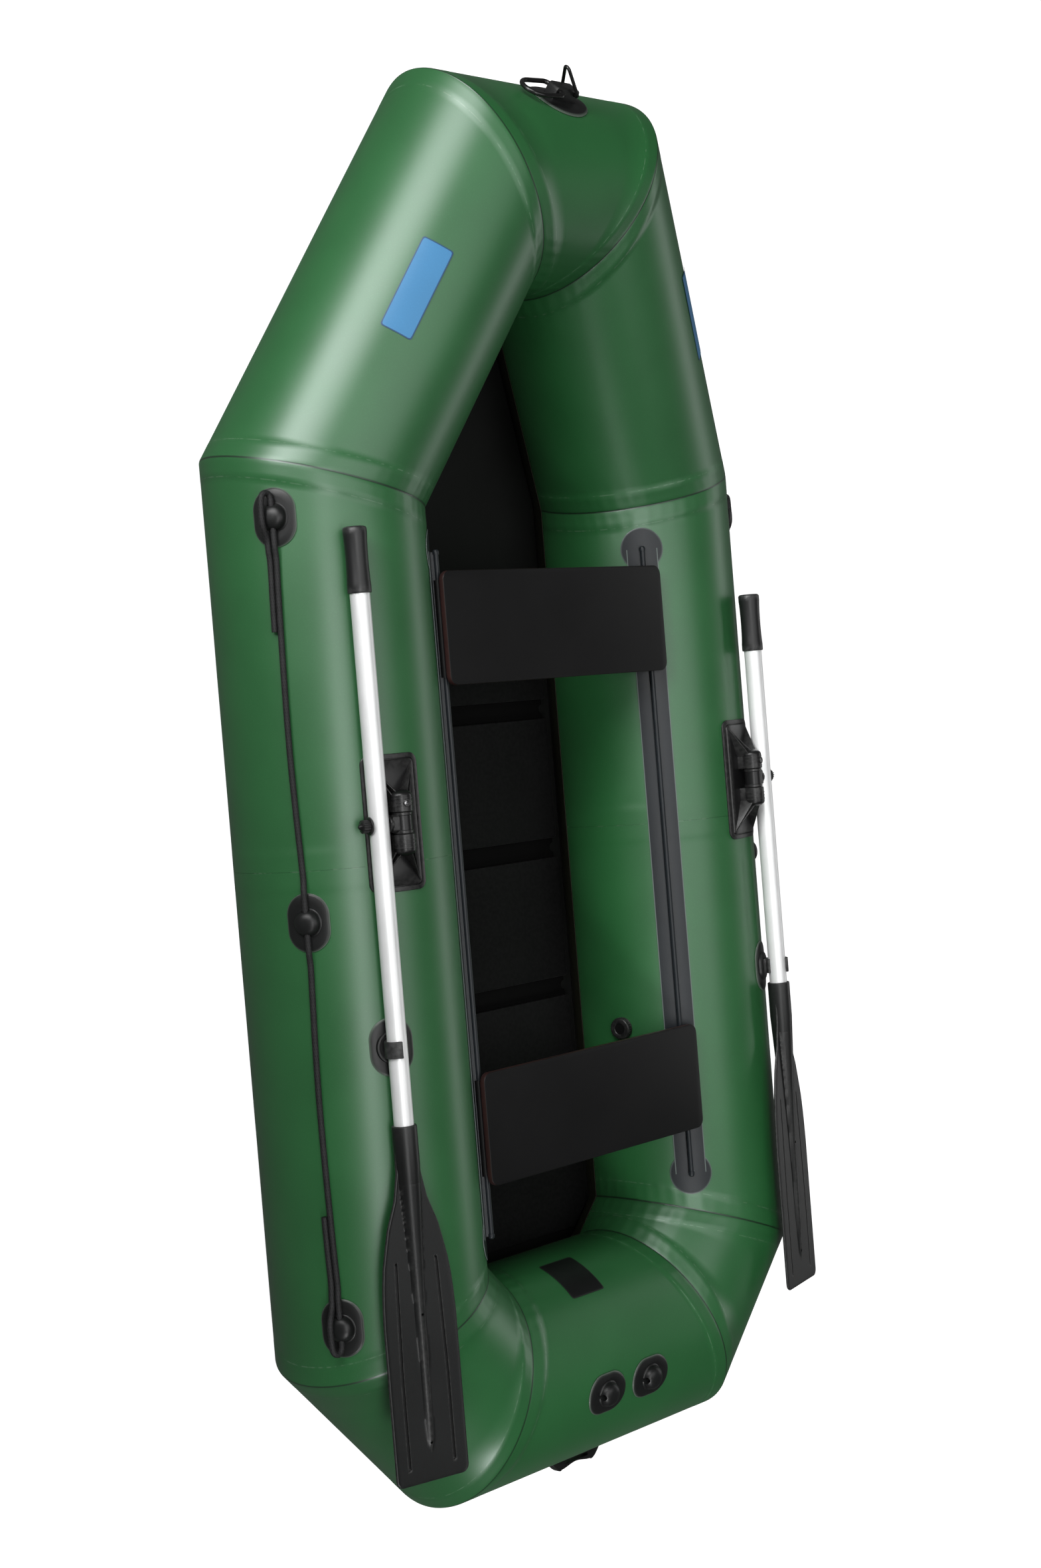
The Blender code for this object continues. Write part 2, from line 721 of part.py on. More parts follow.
def build_floor():
    """The fabric floor cover, notched at its hinges, and the boards that lie on it."""
    spans = panel_spans()
    aft = spans[0][0]
    fore = spans[-1][1]
    right_edge = [
        (FLOOR_HALF - STERN_CHAMFER, MID_SEAM_Y + aft),
        (FLOOR_HALF, MID_SEAM_Y + aft + STERN_CHAMFER),
    ]
    for (_, end), (start, _) in zip(spans, spans[1:]):
        hinge = (FLOOR_HALF, MID_SEAM_Y + (end + start) / 2)
        right_edge += arc(hinge, HINGE_NOTCH, 270, 90, 6)
    right_edge.append((FLOOR_HALF, MID_SEAM_Y + fore))
    outline = right_edge + [(-x, y) for x, y in reversed(right_edge)]
    cover_base = BOTTOM_HEIGHT + BOTTOM_WALL + CLEARANCE
    cover = prism("floor_cover", outline, cover_base, COVER_WALL, Matrix.Identity(4))
    finish(cover, "floor_cover", BLACK_FABRIC)
    panel_base = cover_base + COVER_WALL + CLEARANCE
    for index, (start, end) in enumerate(spans):
        shape = rounded_rectangle(2 * FLOOR_HALF, end - start, PANEL_CORNER)
        if index == 0:
            half = (end - start) / 2
            near = [(x, y) for x, y in shape if y > 0]
            shape = near + [
                (-FLOOR_HALF, STERN_CHAMFER - half), (STERN_CHAMFER - FLOOR_HALF, -half),
                (FLOOR_HALF - STERN_CHAMFER, -half), (FLOOR_HALF, STERN_CHAMFER - half),
            ]
        frame = Matrix.Translation((0.0, MID_SEAM_Y + (start + end) / 2, 0.0))
        panel = prism("panel", shape, panel_base, PANEL_THICKNESS, frame)
        finish(panel, "floor_panel_" + str(index + 1), FLOOR_BOARD)


def build_rail(side):
    """A seat rail: a glued strip with a bead on a stem, and a round pad under each end."""
    length = RAIL_FORE - RAIL_AFT
    middle = (RAIL_FORE + RAIL_AFT) / 2
    frame = side_frame(RAIL_ANGLE, middle)
    strip_in = TUBE_RADIUS + CLEARANCE + RAIL_PAD_WALL / 8
    strip_out = strip_in + RAIL_STRIP_WALL
    bead_centre = TUBE_RADIUS + RAIL_BEAD_LIFT
    half_angle = math.degrees(RAIL_STRIP_WIDTH / 2 / TUBE_RADIUS)
    half_stem = RAIL_STEM_WIDTH / 2
    stem_turn = math.degrees(math.asin(half_stem / RAIL_BEAD_RADIUS))
    stem_foot = math.degrees(math.asin(half_stem / strip_out))
    outline = arc((0, 0), strip_in, 90 - half_angle, 90 + half_angle, 6)
    outline += arc((0, 0), strip_out, 90 + half_angle, 90 + stem_foot, 3)
    outline += arc((0, bead_centre), RAIL_BEAD_RADIUS, 270 - stem_turn, -90 + stem_turn, 12)
    outline += arc((0, 0), strip_out, 90 - stem_foot, 90 - half_angle, 3)
    across = frame @ Matrix.Rotation(math.pi / 2, 4, "X")
    rail = prism("rail", outline, -length / 2, length, across)
    for end in (RAIL_AFT, RAIL_FORE):
        disc = oval(2 * RAIL_PAD_RADIUS, 2 * RAIL_PAD_RADIUS)
        pad = glued_pad("rail_pad", disc, RAIL_PAD_WALL, side_frame(RAIL_ANGLE, end))
        combine(rail, pad, "UNION")
    return finish(rail, "rail_" + side, RAIL_RUBBER, side=side)


def rail_bead_place(ahead):
    """The centre of the starboard rail's bead at a station along the boat."""
    return side_frame(RAIL_ANGLE, ahead) @ Vector((0.0, 0.0, TUBE_RADIUS + RAIL_BEAD_LIFT))


def channel_outline():
    """Section of a seat channel round the bead: X outboard, Y up, slot towards the tube."""
    bore = RAIL_BEAD_RADIUS + RUNNING_GAP
    outer = bore + CHANNEL_WALL
    slot_turn = RAIL_ANGLE
    outer_slot = math.degrees(math.asin(CHANNEL_SLOT / 2 / outer))
    bore_slot = math.degrees(math.asin(CHANNEL_SLOT / 2 / bore))
    web_turn = math.degrees(math.asin(CHANNEL_WEB / 2 / outer))
    flange_base = CHANNEL_RISE
    flange_top = CHANNEL_RISE + CHANNEL_FLANGE_WALL
    outline = arc((0, 0), outer, slot_turn + outer_slot, 90 - web_turn, 7)
    outline += [
        (CHANNEL_WEB / 2, flange_base), (CHANNEL_FLANGE_OUT, flange_base),
        (CHANNEL_FLANGE_OUT, flange_top), (-CHANNEL_FLANGE_IN, flange_top),
        (-CHANNEL_FLANGE_IN, flange_base), (-CHANNEL_WEB / 2, flange_base),
    ]
    outline += arc((0, 0), outer, 90 + web_turn, 360 + slot_turn - outer_slot, 12)
    outline += arc((0, 0), bore, 360 + slot_turn - bore_slot, slot_turn + bore_slot, 16)
    return outline


def build_seat(name, ahead):
    """A seat board with a channel under each end that slides on the rail's bead."""
    bead = rail_bead_place(ahead)
    carrier = joint_empty("seat_" + name + "_slide", (0.0, bead.y, bead.z))
    half_width = bead.x + SEAT_OVERHANG
    board_base = bead.z + CHANNEL_RISE + CHANNEL_FLANGE_WALL + CLEARANCE
    shape = rounded_rectangle(2 * half_width, SEAT_DEPTH, SEAT_CORNER)
    frame = Matrix.Translation((0.0, bead.y, 0.0))
    board = prism("board", shape, board_base, SEAT_THICKNESS, frame)
    finish(board, "seat_board_" + name, SEAT_BOARD, carrier)
    for side in SIDES:
        across = Matrix.Translation(bead) @ Matrix.Rotation(math.pi / 2, 4, "X")
        channel = prism("channel", channel_outline(), -CHANNEL_LENGTH / 2, CHANNEL_LENGTH, across)
        finish(channel, "seat_channel_" + name + "_" + side, BLACK_PLASTIC, carrier, side)
    return carrier


def gusset(name, start, end, rise, frame):
    """A thin upright rib that falls from a height at its start to the panel at its end."""
    run = Vector((end[0] - start[0], end[1] - start[1], 0.0))
    along = run.normalized()
    across = Vector((0.0, 0.0, 1.0)).cross(along)
    place = Matrix.Identity(4)
    place.col[0] = (*along, 0.0)
    place.col[1] = (0.0, 0.0, 1.0, 0.0)
    place.col[2] = (*(-across), 0.0)
    place.col[3] = (start[0], start[1], 0.0, 1.0)
    embed = CLEARANCE + OARLOCK_PAD_WALL / 2
    foot = math.sqrt((TUBE_RADIUS + embed) ** 2 - start[0] ** 2)
    toe = math.sqrt((TUBE_RADIUS + embed) ** 2 - end[0] ** 2)
    tip = toe + OARLOCK_PANEL_WALL / 2
    outline = [(0.0, foot), (run.length, toe), (run.length, tip), (0.0, rise)]
    return prism(name, outline, -GUSSET_WALL / 2, GUSSET_WALL, frame @ place)


def build_oarlock_base(side):
    """The glued oarlock base: pad, panel, two ribbed housings and the bore for the axle."""
    frame = side_frame(OARLOCK_ANGLE, OARLOCK_Y)
    sheet = rounded_rectangle(OARLOCK_PAD_WIDTH, OARLOCK_PAD_LENGTH, OARLOCK_PAD_CORNER)
    panel_width = OARLOCK_PAD_WIDTH - 2 * OARLOCK_PANEL_INSET
    panel_length = OARLOCK_PAD_LENGTH - 2 * OARLOCK_PANEL_INSET
    panel_shape = rounded_rectangle(panel_width, panel_length, OARLOCK_PAD_CORNER / 2)
    base = glued_pad("oarlock_base", sheet, OARLOCK_PAD_WALL, frame)
    panel_lift = CLEARANCE + OARLOCK_PAD_WALL / 3
    panel_wall = OARLOCK_PANEL_WALL - OARLOCK_PAD_WALL / 3
    panel = glued_pad("oarlock_panel", panel_shape, panel_wall, frame, lift=panel_lift)
    combine(base, panel, "UNION")
    inner = BARREL_LENGTH / 2 + CLEARANCE
    outer = inner + HOUSING_LENGTH
    dome = HOUSING_DOME
    for way in (1, -1):
        turn = ALONG_Y if way > 0 else ALONG_Y @ Matrix.Rotation(math.pi, 4, "X")
        axis = frame @ Matrix.Translation((0, 0, ROLL_AXIS_RADIUS)) @ turn
        cap = [(HOUSING_RADIUS * math.sin(t), outer - dome + dome * math.cos(t))
               for t in (math.radians(30 * step) for step in range(4))]
        profile = cap + [(HOUSING_RADIUS, inner), (0.0, inner)]
        combine(base, turned("housing", profile, axis, ROUND_SIDES), "UNION")
        saddle_length = HOUSING_LENGTH - dome
        saddle_foot = TUBE_RADIUS + CLEARANCE + OARLOCK_PAD_WALL / 2
        saddle_size = (HOUSING_SADDLE, saddle_length, ROLL_AXIS_RADIUS - saddle_foot)
        saddle_middle = (ROLL_AXIS_RADIUS + saddle_foot) / 2
        saddle_place = (0.0, way * (inner + saddle_length / 2), saddle_middle)
        combine(base, box("saddle", saddle_size, saddle_place, frame), "UNION")
        start_y = way * (outer - GUSSET_EMBED)
        end_y = way * (outer + GUSSET_REACH)
        for hand in (1, -1):
            corner = (hand * GUSSET_SPREAD, end_y)
            for across, rise in GUSSET_STARTS:
                start = (hand * across, start_y)
                combine(base, gusset("rib", start, corner, ROLL_AXIS_RADIUS + rise, frame), "UNION")
    bore_frame = frame @ Matrix.Translation((0, 0, ROLL_AXIS_RADIUS)) @ ALONG_Y
    bore_half = AXLE_LENGTH / 2 + CLEARANCE
    bore = cylinder("bore", AXLE_RADIUS + CLEARANCE, -bore_half, bore_half, bore_frame, SMALL_SIDES)
    combine(base, bore, "DIFFERENCE")
    finish(base, "oarlock_base_" + side, BLACK_PLASTIC, side=side)
    half = AXLE_LENGTH / 2
    axle = cylinder("axle", AXLE_RADIUS, -half, half, bore_frame, SMALL_SIDES)
    return finish(axle, "oarlock_axle_" + side, STEEL, side=side)


def build_oarlock_barrel(side):
    """The barrel that rolls on the axle, with the collar and pin that carry the oar."""
    frame = side_frame(OARLOCK_ANGLE, OARLOCK_Y) @ Matrix.Translation((0, 0, ROLL_AXIS_RADIUS))
    place = frame.translation.copy()
    if side == PORT:
        place.x = -place.x
    carrier = joint_empty("oar_roll_" + side, place)
    half = BARREL_LENGTH / 2
    barrel = cylinder("barrel", BARREL_RADIUS, -half, half, frame @ ALONG_Y, ROUND_SIDES)
    collar_face = SHAFT_OFFSET - SHAFT_RADIUS - CLEARANCE
    collar_back = collar_face - COLLAR_WALL
    neck_size = (collar_back, NECK_LENGTH, NECK_WIDTH)
    combine(barrel, box("neck", neck_size, (collar_back / 2 + NECK_EMBED, 0, 0), frame), "UNION")
    pin_end = SHAFT_OFFSET + SHAFT_RADIUS + PIN_REACH
    steps = [
        (0.0, pin_end), (PIN_RADIUS, pin_end), (PIN_RADIUS, collar_face),
        (COLLAR_RADIUS, collar_face), (COLLAR_RADIUS, collar_back - COLLAR_EMBED),
        (0.0, collar_back - COLLAR_EMBED),
    ]
    combine(barrel, turned("pin", steps, frame @ ALONG_X, SMALL_SIDES), "UNION")
    bore = cylinder("bore", AXLE_RADIUS + CLEARANCE, -2 * half, 2 * half, frame @ ALONG_Y, SMALL_SIDES)
    combine(barrel, bore, "DIFFERENCE")
    finish(barrel, "oarlock_barrel_" + side, BLACK_PLASTIC, carrier, side)
    return carrier


def build_nut(side, carrier):
    """The flanged cap nut on the end of the oar pin."""
    frame = side_frame(OARLOCK_ANGLE, OARLOCK_Y) @ Matrix.Translation((0, 0, ROLL_AXIS_RADIUS))
    face = SHAFT_OFFSET + SHAFT_RADIUS + CLEARANCE
    shoulder = face + NUT_FLANGE_WALL
    body_end = shoulder + NUT_BODY_LENGTH
    tip = body_end + NUT_TIP_LENGTH
    profile = [
        (0.0, tip), (NUT_POINT_RADIUS, tip - NUT_RIM), (NUT_CONE_RADIUS, body_end + NUT_CONE_FOOT),
        (NUT_RADIUS - NUT_EDGE, body_end), (NUT_RADIUS, body_end - NUT_EDGE), (NUT_RADIUS, shoulder),
        (NUT_FLANGE_RADIUS, shoulder - NUT_RIM), (NUT_FLANGE_RADIUS, face), (0.0, face),
    ]
    nut = turned("nut", profile, frame @ ALONG_X, ROUND_SIDES)
    bore_end = SHAFT_OFFSET + SHAFT_RADIUS + PIN_REACH + CLEARANCE
    bore = cylinder("bore", PIN_RADIUS + CLEARANCE, face - NUT_EDGE, bore_end, frame @ ALONG_X, SMALL_SIDES)
    combine(nut, bore, "DIFFERENCE")
    for way in (0, 1):
        turn = frame @ Matrix.Rotation(way * math.pi / 2, 4, "X")
        middle = (body_end + shoulder) / 2
        size = (NUT_SLOT_LENGTH, 4 * NUT_RADIUS, NUT_SLOT)
        for hand in (1, -1):
            offset = (middle, hand * (2 * NUT_RADIUS + NUT_RADIUS - NUT_SLOT / 2), 0.0)
            combine(nut, box("flute", size, offset, turn), "DIFFERENCE")
    place = frame @ Vector((face, 0.0, 0.0))
    if side == PORT:
        place.x = -place.x
    spin = joint_empty("nut_spin_" + side, place)
    spin.parent = carrier
    spin.matrix_parent_inverse = carrier.matrix_world.inverted()
    bpy.context.view_layer.update()
    return finish(nut, "oarlock_nut_" + side, BLACK_PLASTIC, spin, side)


def blade_outline():
    """The blade from above: its edge table on both sides, with rounded corners at the tip."""
    edge = [(half, -along) for along, half in BLADE_EDGE]
    corner = (BLADE_HALF - BLADE_CORNER, -BLADE_LENGTH + BLADE_CORNER)
    edge += arc(corner, BLADE_CORNER, 0, -90, 4)
    return edge + [(-x, y) for x, y in reversed(edge)]


def build_oar(side, carrier, grip_end, blade_start):
    """An oar: tube shaft, moulded grip, and a ribbed, grooved blade on the shaft's end."""
    lock = side_frame(OARLOCK_ANGLE, OARLOCK_Y)
    pin_place = lock @ Vector((SHAFT_OFFSET, 0.0, ROLL_AXIS_RADIUS))
    place = Vector((-pin_place.x if side == PORT else pin_place.x, pin_place.y, pin_place.z))
    swing = joint_empty("oar_swing_" + side, place)
    swing.parent = carrier
    swing.matrix_parent_inverse = carrier.matrix_world.inverted()
    bpy.context.view_layer.update()
    frame = side_frame(OARLOCK_ANGLE, 0.0) @ Matrix.Translation((SHAFT_OFFSET, 0, ROLL_AXIS_RADIUS))
    line = frame @ ALONG_Y
    fore = grip_end - GRIP_CAP - CLEARANCE
    aft = blade_start - SOCKET_DEPTH
    inner = SHAFT_RADIUS - SHAFT_WALL
    wall = [(SHAFT_RADIUS, fore), (SHAFT_RADIUS, aft), (inner, aft), (inner, fore)]
    shaft = turned("shaft", wall, line, ROUND_SIDES, ring=True)
    hole_frame = frame @ Matrix.Translation((0, OARLOCK_Y, 0)) @ ALONG_X
    reach = 2 * SHAFT_RADIUS
    hole = cylinder("hole", PIN_RADIUS + CLEARANCE, -reach, reach, hole_frame, SMALL_SIDES)
    combine(shaft, hole, "DIFFERENCE")
    finish(shaft, "oar_shaft_" + side, ALUMINIUM, swing, side)

    grip_start = grip_end - GRIP_LENGTH
    bore = SHAFT_RADIUS + CLEARANCE
    profile = [
        (0.0, grip_end), (GRIP_RADIUS - GRIP_EDGE, grip_end), (GRIP_RADIUS, grip_end - GRIP_EDGE),
        (GRIP_RADIUS, grip_end - GRIP_BAND), (GRIP_WAIST, grip_end - GRIP_FLARE),
        (GRIP_WAIST, grip_start + GRIP_FLARE), (GRIP_RADIUS, grip_start + GRIP_BAND),
        (GRIP_RADIUS - GRIP_STEP, grip_start), (bore, grip_start),
        (bore, grip_end - GRIP_CAP), (0.0, grip_end - GRIP_CAP),
    ]
    finish(turned("grip", profile, line, ROUND_SIDES), "oar_grip_" + side, GRIP_RUBBER, swing, side)

    root = frame @ Matrix.Translation((0, blade_start, 0))
    blade = prism("blade", blade_outline(), -BLADE_WALL / 2, BLADE_WALL, root)
    neck = BLADE_NECK_RADIUS
    rib = [(radius, -along) for radius, along in BLADE_RIB]
    socket_end = -SOCKET_DEPTH - CLEARANCE
    relief = (neck - bore) / 2
    core = cylinder("core", bore + relief, socket_end - relief, neck, root @ ALONG_Y, SPINE_SIDES)
    combine(blade, core, "DIFFERENCE")
    socket = [(0.0, socket_end), (bore, socket_end), (bore, 0.0)]
    combine(blade, turned("spine", socket + rib, root @ ALONG_Y, SPINE_SIDES), "UNION")
    groove_run = Vector((BLADE_SLOT_SPLAY, BLADE_SLOT_END - BLADE_SLOT_START))
    groove_length = groove_run.length
    groove_turn = math.atan2(BLADE_SLOT_SPLAY, BLADE_SLOT_END - BLADE_SLOT_START)
    for hand in (1, -1):
        middle = (hand * (BLADE_SLOT_OFFSET + BLADE_SLOT_SPLAY / 2), -(BLADE_SLOT_START + BLADE_SLOT_END) / 2)
        shape = rounded_rectangle(BLADE_SLOT_WIDTH, groove_length, BLADE_SLOT_CORNER, 1)
        turn = Matrix.Rotation(hand * groove_turn, 4, "Z")
        lie = root @ Matrix.Translation((*middle, 0.0)) @ turn
        for face in (1, -1):
            floor = BLADE_WALL / 2 - BLADE_SLOT_DEPTH
            base = floor if face > 0 else -floor - BLADE_WALL
            combine(blade, prism("groove", shape, base, BLADE_WALL, lie), "DIFFERENCE")
    for along in BLADE_HOLES:
        spot = root @ Matrix.Translation((0, -along, 0))
        drill = cylinder("drill", BLADE_HOLE_RADIUS, -neck, neck, spot, 8)
        combine(blade, drill, "DIFFERENCE")
    return finish(blade, "oar_blade_" + side, BLACK_PLASTIC, swing, side)


def build_clip(side):
    """The oar clip: a glued pad with a round boss, and a springy hook round the shaft."""
    frame = side_frame(SHAFT_AXIS_ANGLE, CLIP_Y)
    shape = rounded_rectangle(CLIP_PAD_WIDTH, CLIP_PAD_LENGTH, CLIP_PAD_WIDTH * ROUND_END, 6)
    pad = glued_pad("clip_pad", shape, CLIP_PAD_WALL, frame)
    top = TUBE_RADIUS + CLIP_BOSS_HEIGHT
    low = TUBE_RADIUS + CLEARANCE + CLIP_PAD_WALL / 2
    boss = [
        (0.0, top), (CLIP_BOSS_RADIUS - CLIP_BOSS_EDGE, top),
        (CLIP_BOSS_RADIUS - CLIP_BOSS_DRAFT, top - CLIP_BOSS_STEP), (CLIP_BOSS_RADIUS, low), (0.0, low),
    ]
    combine(pad, turned("boss", boss, frame, ROUND_SIDES), "UNION")
    finish(pad, "clip_pad_" + side, PAD_RUBBER, side=side)

    bore = SHAFT_RADIUS + CLEARANCE
    outer = bore + CLIP_HOOK_WALL
    foot = SHAFT_AXIS_RADIUS - top - CLEARANCE
    inboard_end = 270.0 - CLIP_HOOK_SHORT
    outboard_end = 270.0 + CLIP_HOOK_SWEEP
    outline = arc((0, 0), bore, outboard_end, inboard_end, 26)
    outline += arc((0, 0), outer, inboard_end, 270.0 - CLIP_HOOK_FLARE, 4)
    outline += [(-CLIP_FOOT_IN, -foot), (CLIP_FOOT_OUT, -foot)]
    outline += arc((0, 0), outer, 270.0 + 2 * CLIP_HOOK_FLARE, outboard_end, 18)
    across = frame @ Matrix.Translation((0, 0, SHAFT_AXIS_RADIUS)) @ Matrix.Rotation(math.pi / 2, 4, "X")
    hook = prism("hook", outline, -CLIP_HOOK_LENGTH / 2, CLIP_HOOK_LENGTH, across)
    return finish(hook, "clip_hook_" + side, PAD_RUBBER, side=side)


def build_eyelet(name, frame, radius, side=STARBOARD):
    """A glued rope eyelet: a pad with a round boss that a rope passes through."""
    shape = rounded_rectangle(EYELET_PAD_WIDTH, EYELET_PAD_LENGTH, EYELET_PAD_WIDTH * ROUND_END, 5)
    pad = glued_pad("eyelet_pad", shape, EYELET_PAD_WALL, frame, radius)
    base = radius + CLEARANCE + EYELET_PAD_WALL / 2
    rise = EYELET_DOME_HEIGHT + radius - base
    profile = []
    for step in range(DOME_STEPS + 1):
        share = math.sin(math.radians(90 * step / DOME_STEPS))
        height = rise * (1 - share ** DOME_POWER) ** (1 / DOME_POWER)
        profile.append((EYELET_DOME_RADIUS * share, base + height))
    profile.append((0.0, base))
    combine(pad, turned("dome", profile, frame, DOME_SIDES), "UNION")
    hole_frame = frame @ Matrix.Translation((0, 0, radius + EYELET_HOLE_HEIGHT)) @ ALONG_Y
    reach = 2 * EYELET_DOME_RADIUS
    hole = cylinder("hole", EYELET_HOLE_RADIUS, -reach, reach, hole_frame, SMALL_SIDES)
    combine(pad, hole, "DIFFERENCE")
    return finish(pad, name, PAD_RUBBER, side=side)


# Rope route past an end eyelet, from the tail's tip: metres towards the rope's end,
# metres outboard round the tube, and metres over the tube's surface.
END_ROUTE = (
    (-0.168, 0.0122, 0.0048), (-0.116, 0.0112, 0.0048), (-0.068, 0.0100, 0.0050),
    (-0.050, 0.0097, 0.0080), (-0.036, 0.0096, 0.0095), (-0.027, 0.0096, 0.0135),
    (-0.017, 0.0096, 0.0195), (-0.005, 0.0096, 0.0230), (0.018, 0.0093, 0.0226),
    (0.029, 0.0085, 0.0218), (0.0345, 0.0066, 0.0194), (0.0362, 0.0045, 0.0151),
    (0.0345, 0.0024, 0.0108), (0.029, 0.0008, 0.0088), (0.021, 0.0000, 0.0085),
    (-0.030, 0.0000, 0.0085), (-0.047, 0.0000, 0.0081), (-0.064, 0.0003, 0.0050),
    (-0.110, 0.0016, 0.0048), (-0.165, 0.0028, 0.0048),
)
SLACK_ROUTE = (
    (0.250, 0.0042, 0.0048), (0.335, 0.0048, 0.0048), (0.420, 0.0036, 0.0048),
    (0.500, 0.0014, 0.0048),
)
MIDDLE_ROUTE = (
    (0.064, 0.0003, 0.0050), (0.047, 0.0000, 0.0081), (0.030, 0.0000, 0.0085),
    (-0.030, 0.0000, 0.0085), (-0.047, 0.0000, 0.0081), (-0.064, 0.0003, 0.0050),
)


def rope_route():
    """The lifeline's own points: along the boat, round the tube and over its surface."""
    fore, middle, aft = EYELET_STATIONS
    route = [(fore + along, around, over) for along, around, over in END_ROUTE]
    route += [(fore - along, around, over) for along, around, over in SLACK_ROUTE]
    route += [(middle + along, around, over) for along, around, over in MIDDLE_ROUTE]
    route += [(aft + along, around, over) for along, around, over in reversed(SLACK_ROUTE)]
    route += [(aft - along, around, over) for along, around, over in reversed(END_ROUTE)]
    return route


def smooth_run(route, step):
    """Points on a smooth curve through a route, no further apart than a step."""
    points = [Vector(place) for place in route]
    padded = [2 * points[0] - points[1]] + points + [2 * points[-1] - points[-2]]
    run = []
    for index in range(len(points) - 1):
        before, start, end, after = padded[index:index + 4]
        pieces = max(1, math.ceil((end - start).length / step))
        for piece in range(pieces):
            share = piece / pieces
            line = 0.5 * (
                2 * start + (end - before) * share
                + (2 * before - 5 * start + 4 * end - after) * share ** 2
                + (3 * start - before - 3 * end + after) * share ** 3
            )
            run.append(line)
    run.append(points[-1])
    return run


def build_lifeline(side):
    """The rope that runs through three eyelets and doubles back at both ends."""
    frame = side_frame(EYELET_ANGLE, 0.0)
    places = []
    for along, around, over in smooth_run(rope_route(), ROPE_STEP):
        turn = around / TUBE_RADIUS
        reach = TUBE_RADIUS + over
        places.append((reach * math.sin(turn), along, reach * math.cos(turn)))
    rope = rod("rope", places, ROPE_RADIUS, frame)
    return finish(rope, "lifeline_" + side, ROPE_FIBRE, side=side)


def valve_hole(ahead, side):
    """The cutter for a valve's hole through the tube's fabric."""
    frame = side_frame(VALVE_ANGLE, ahead)
    reach = 5 * TUBE_WALL
    low = TUBE_RADIUS - 3 * reach
    radius = VALVE_BARREL_RADIUS + CLEARANCE
    hole = cylinder("valve_hole", radius, low, TUBE_RADIUS + reach, frame, ROUND_SIDES)
    return mirror_to_port(hole) if side == PORT else hole


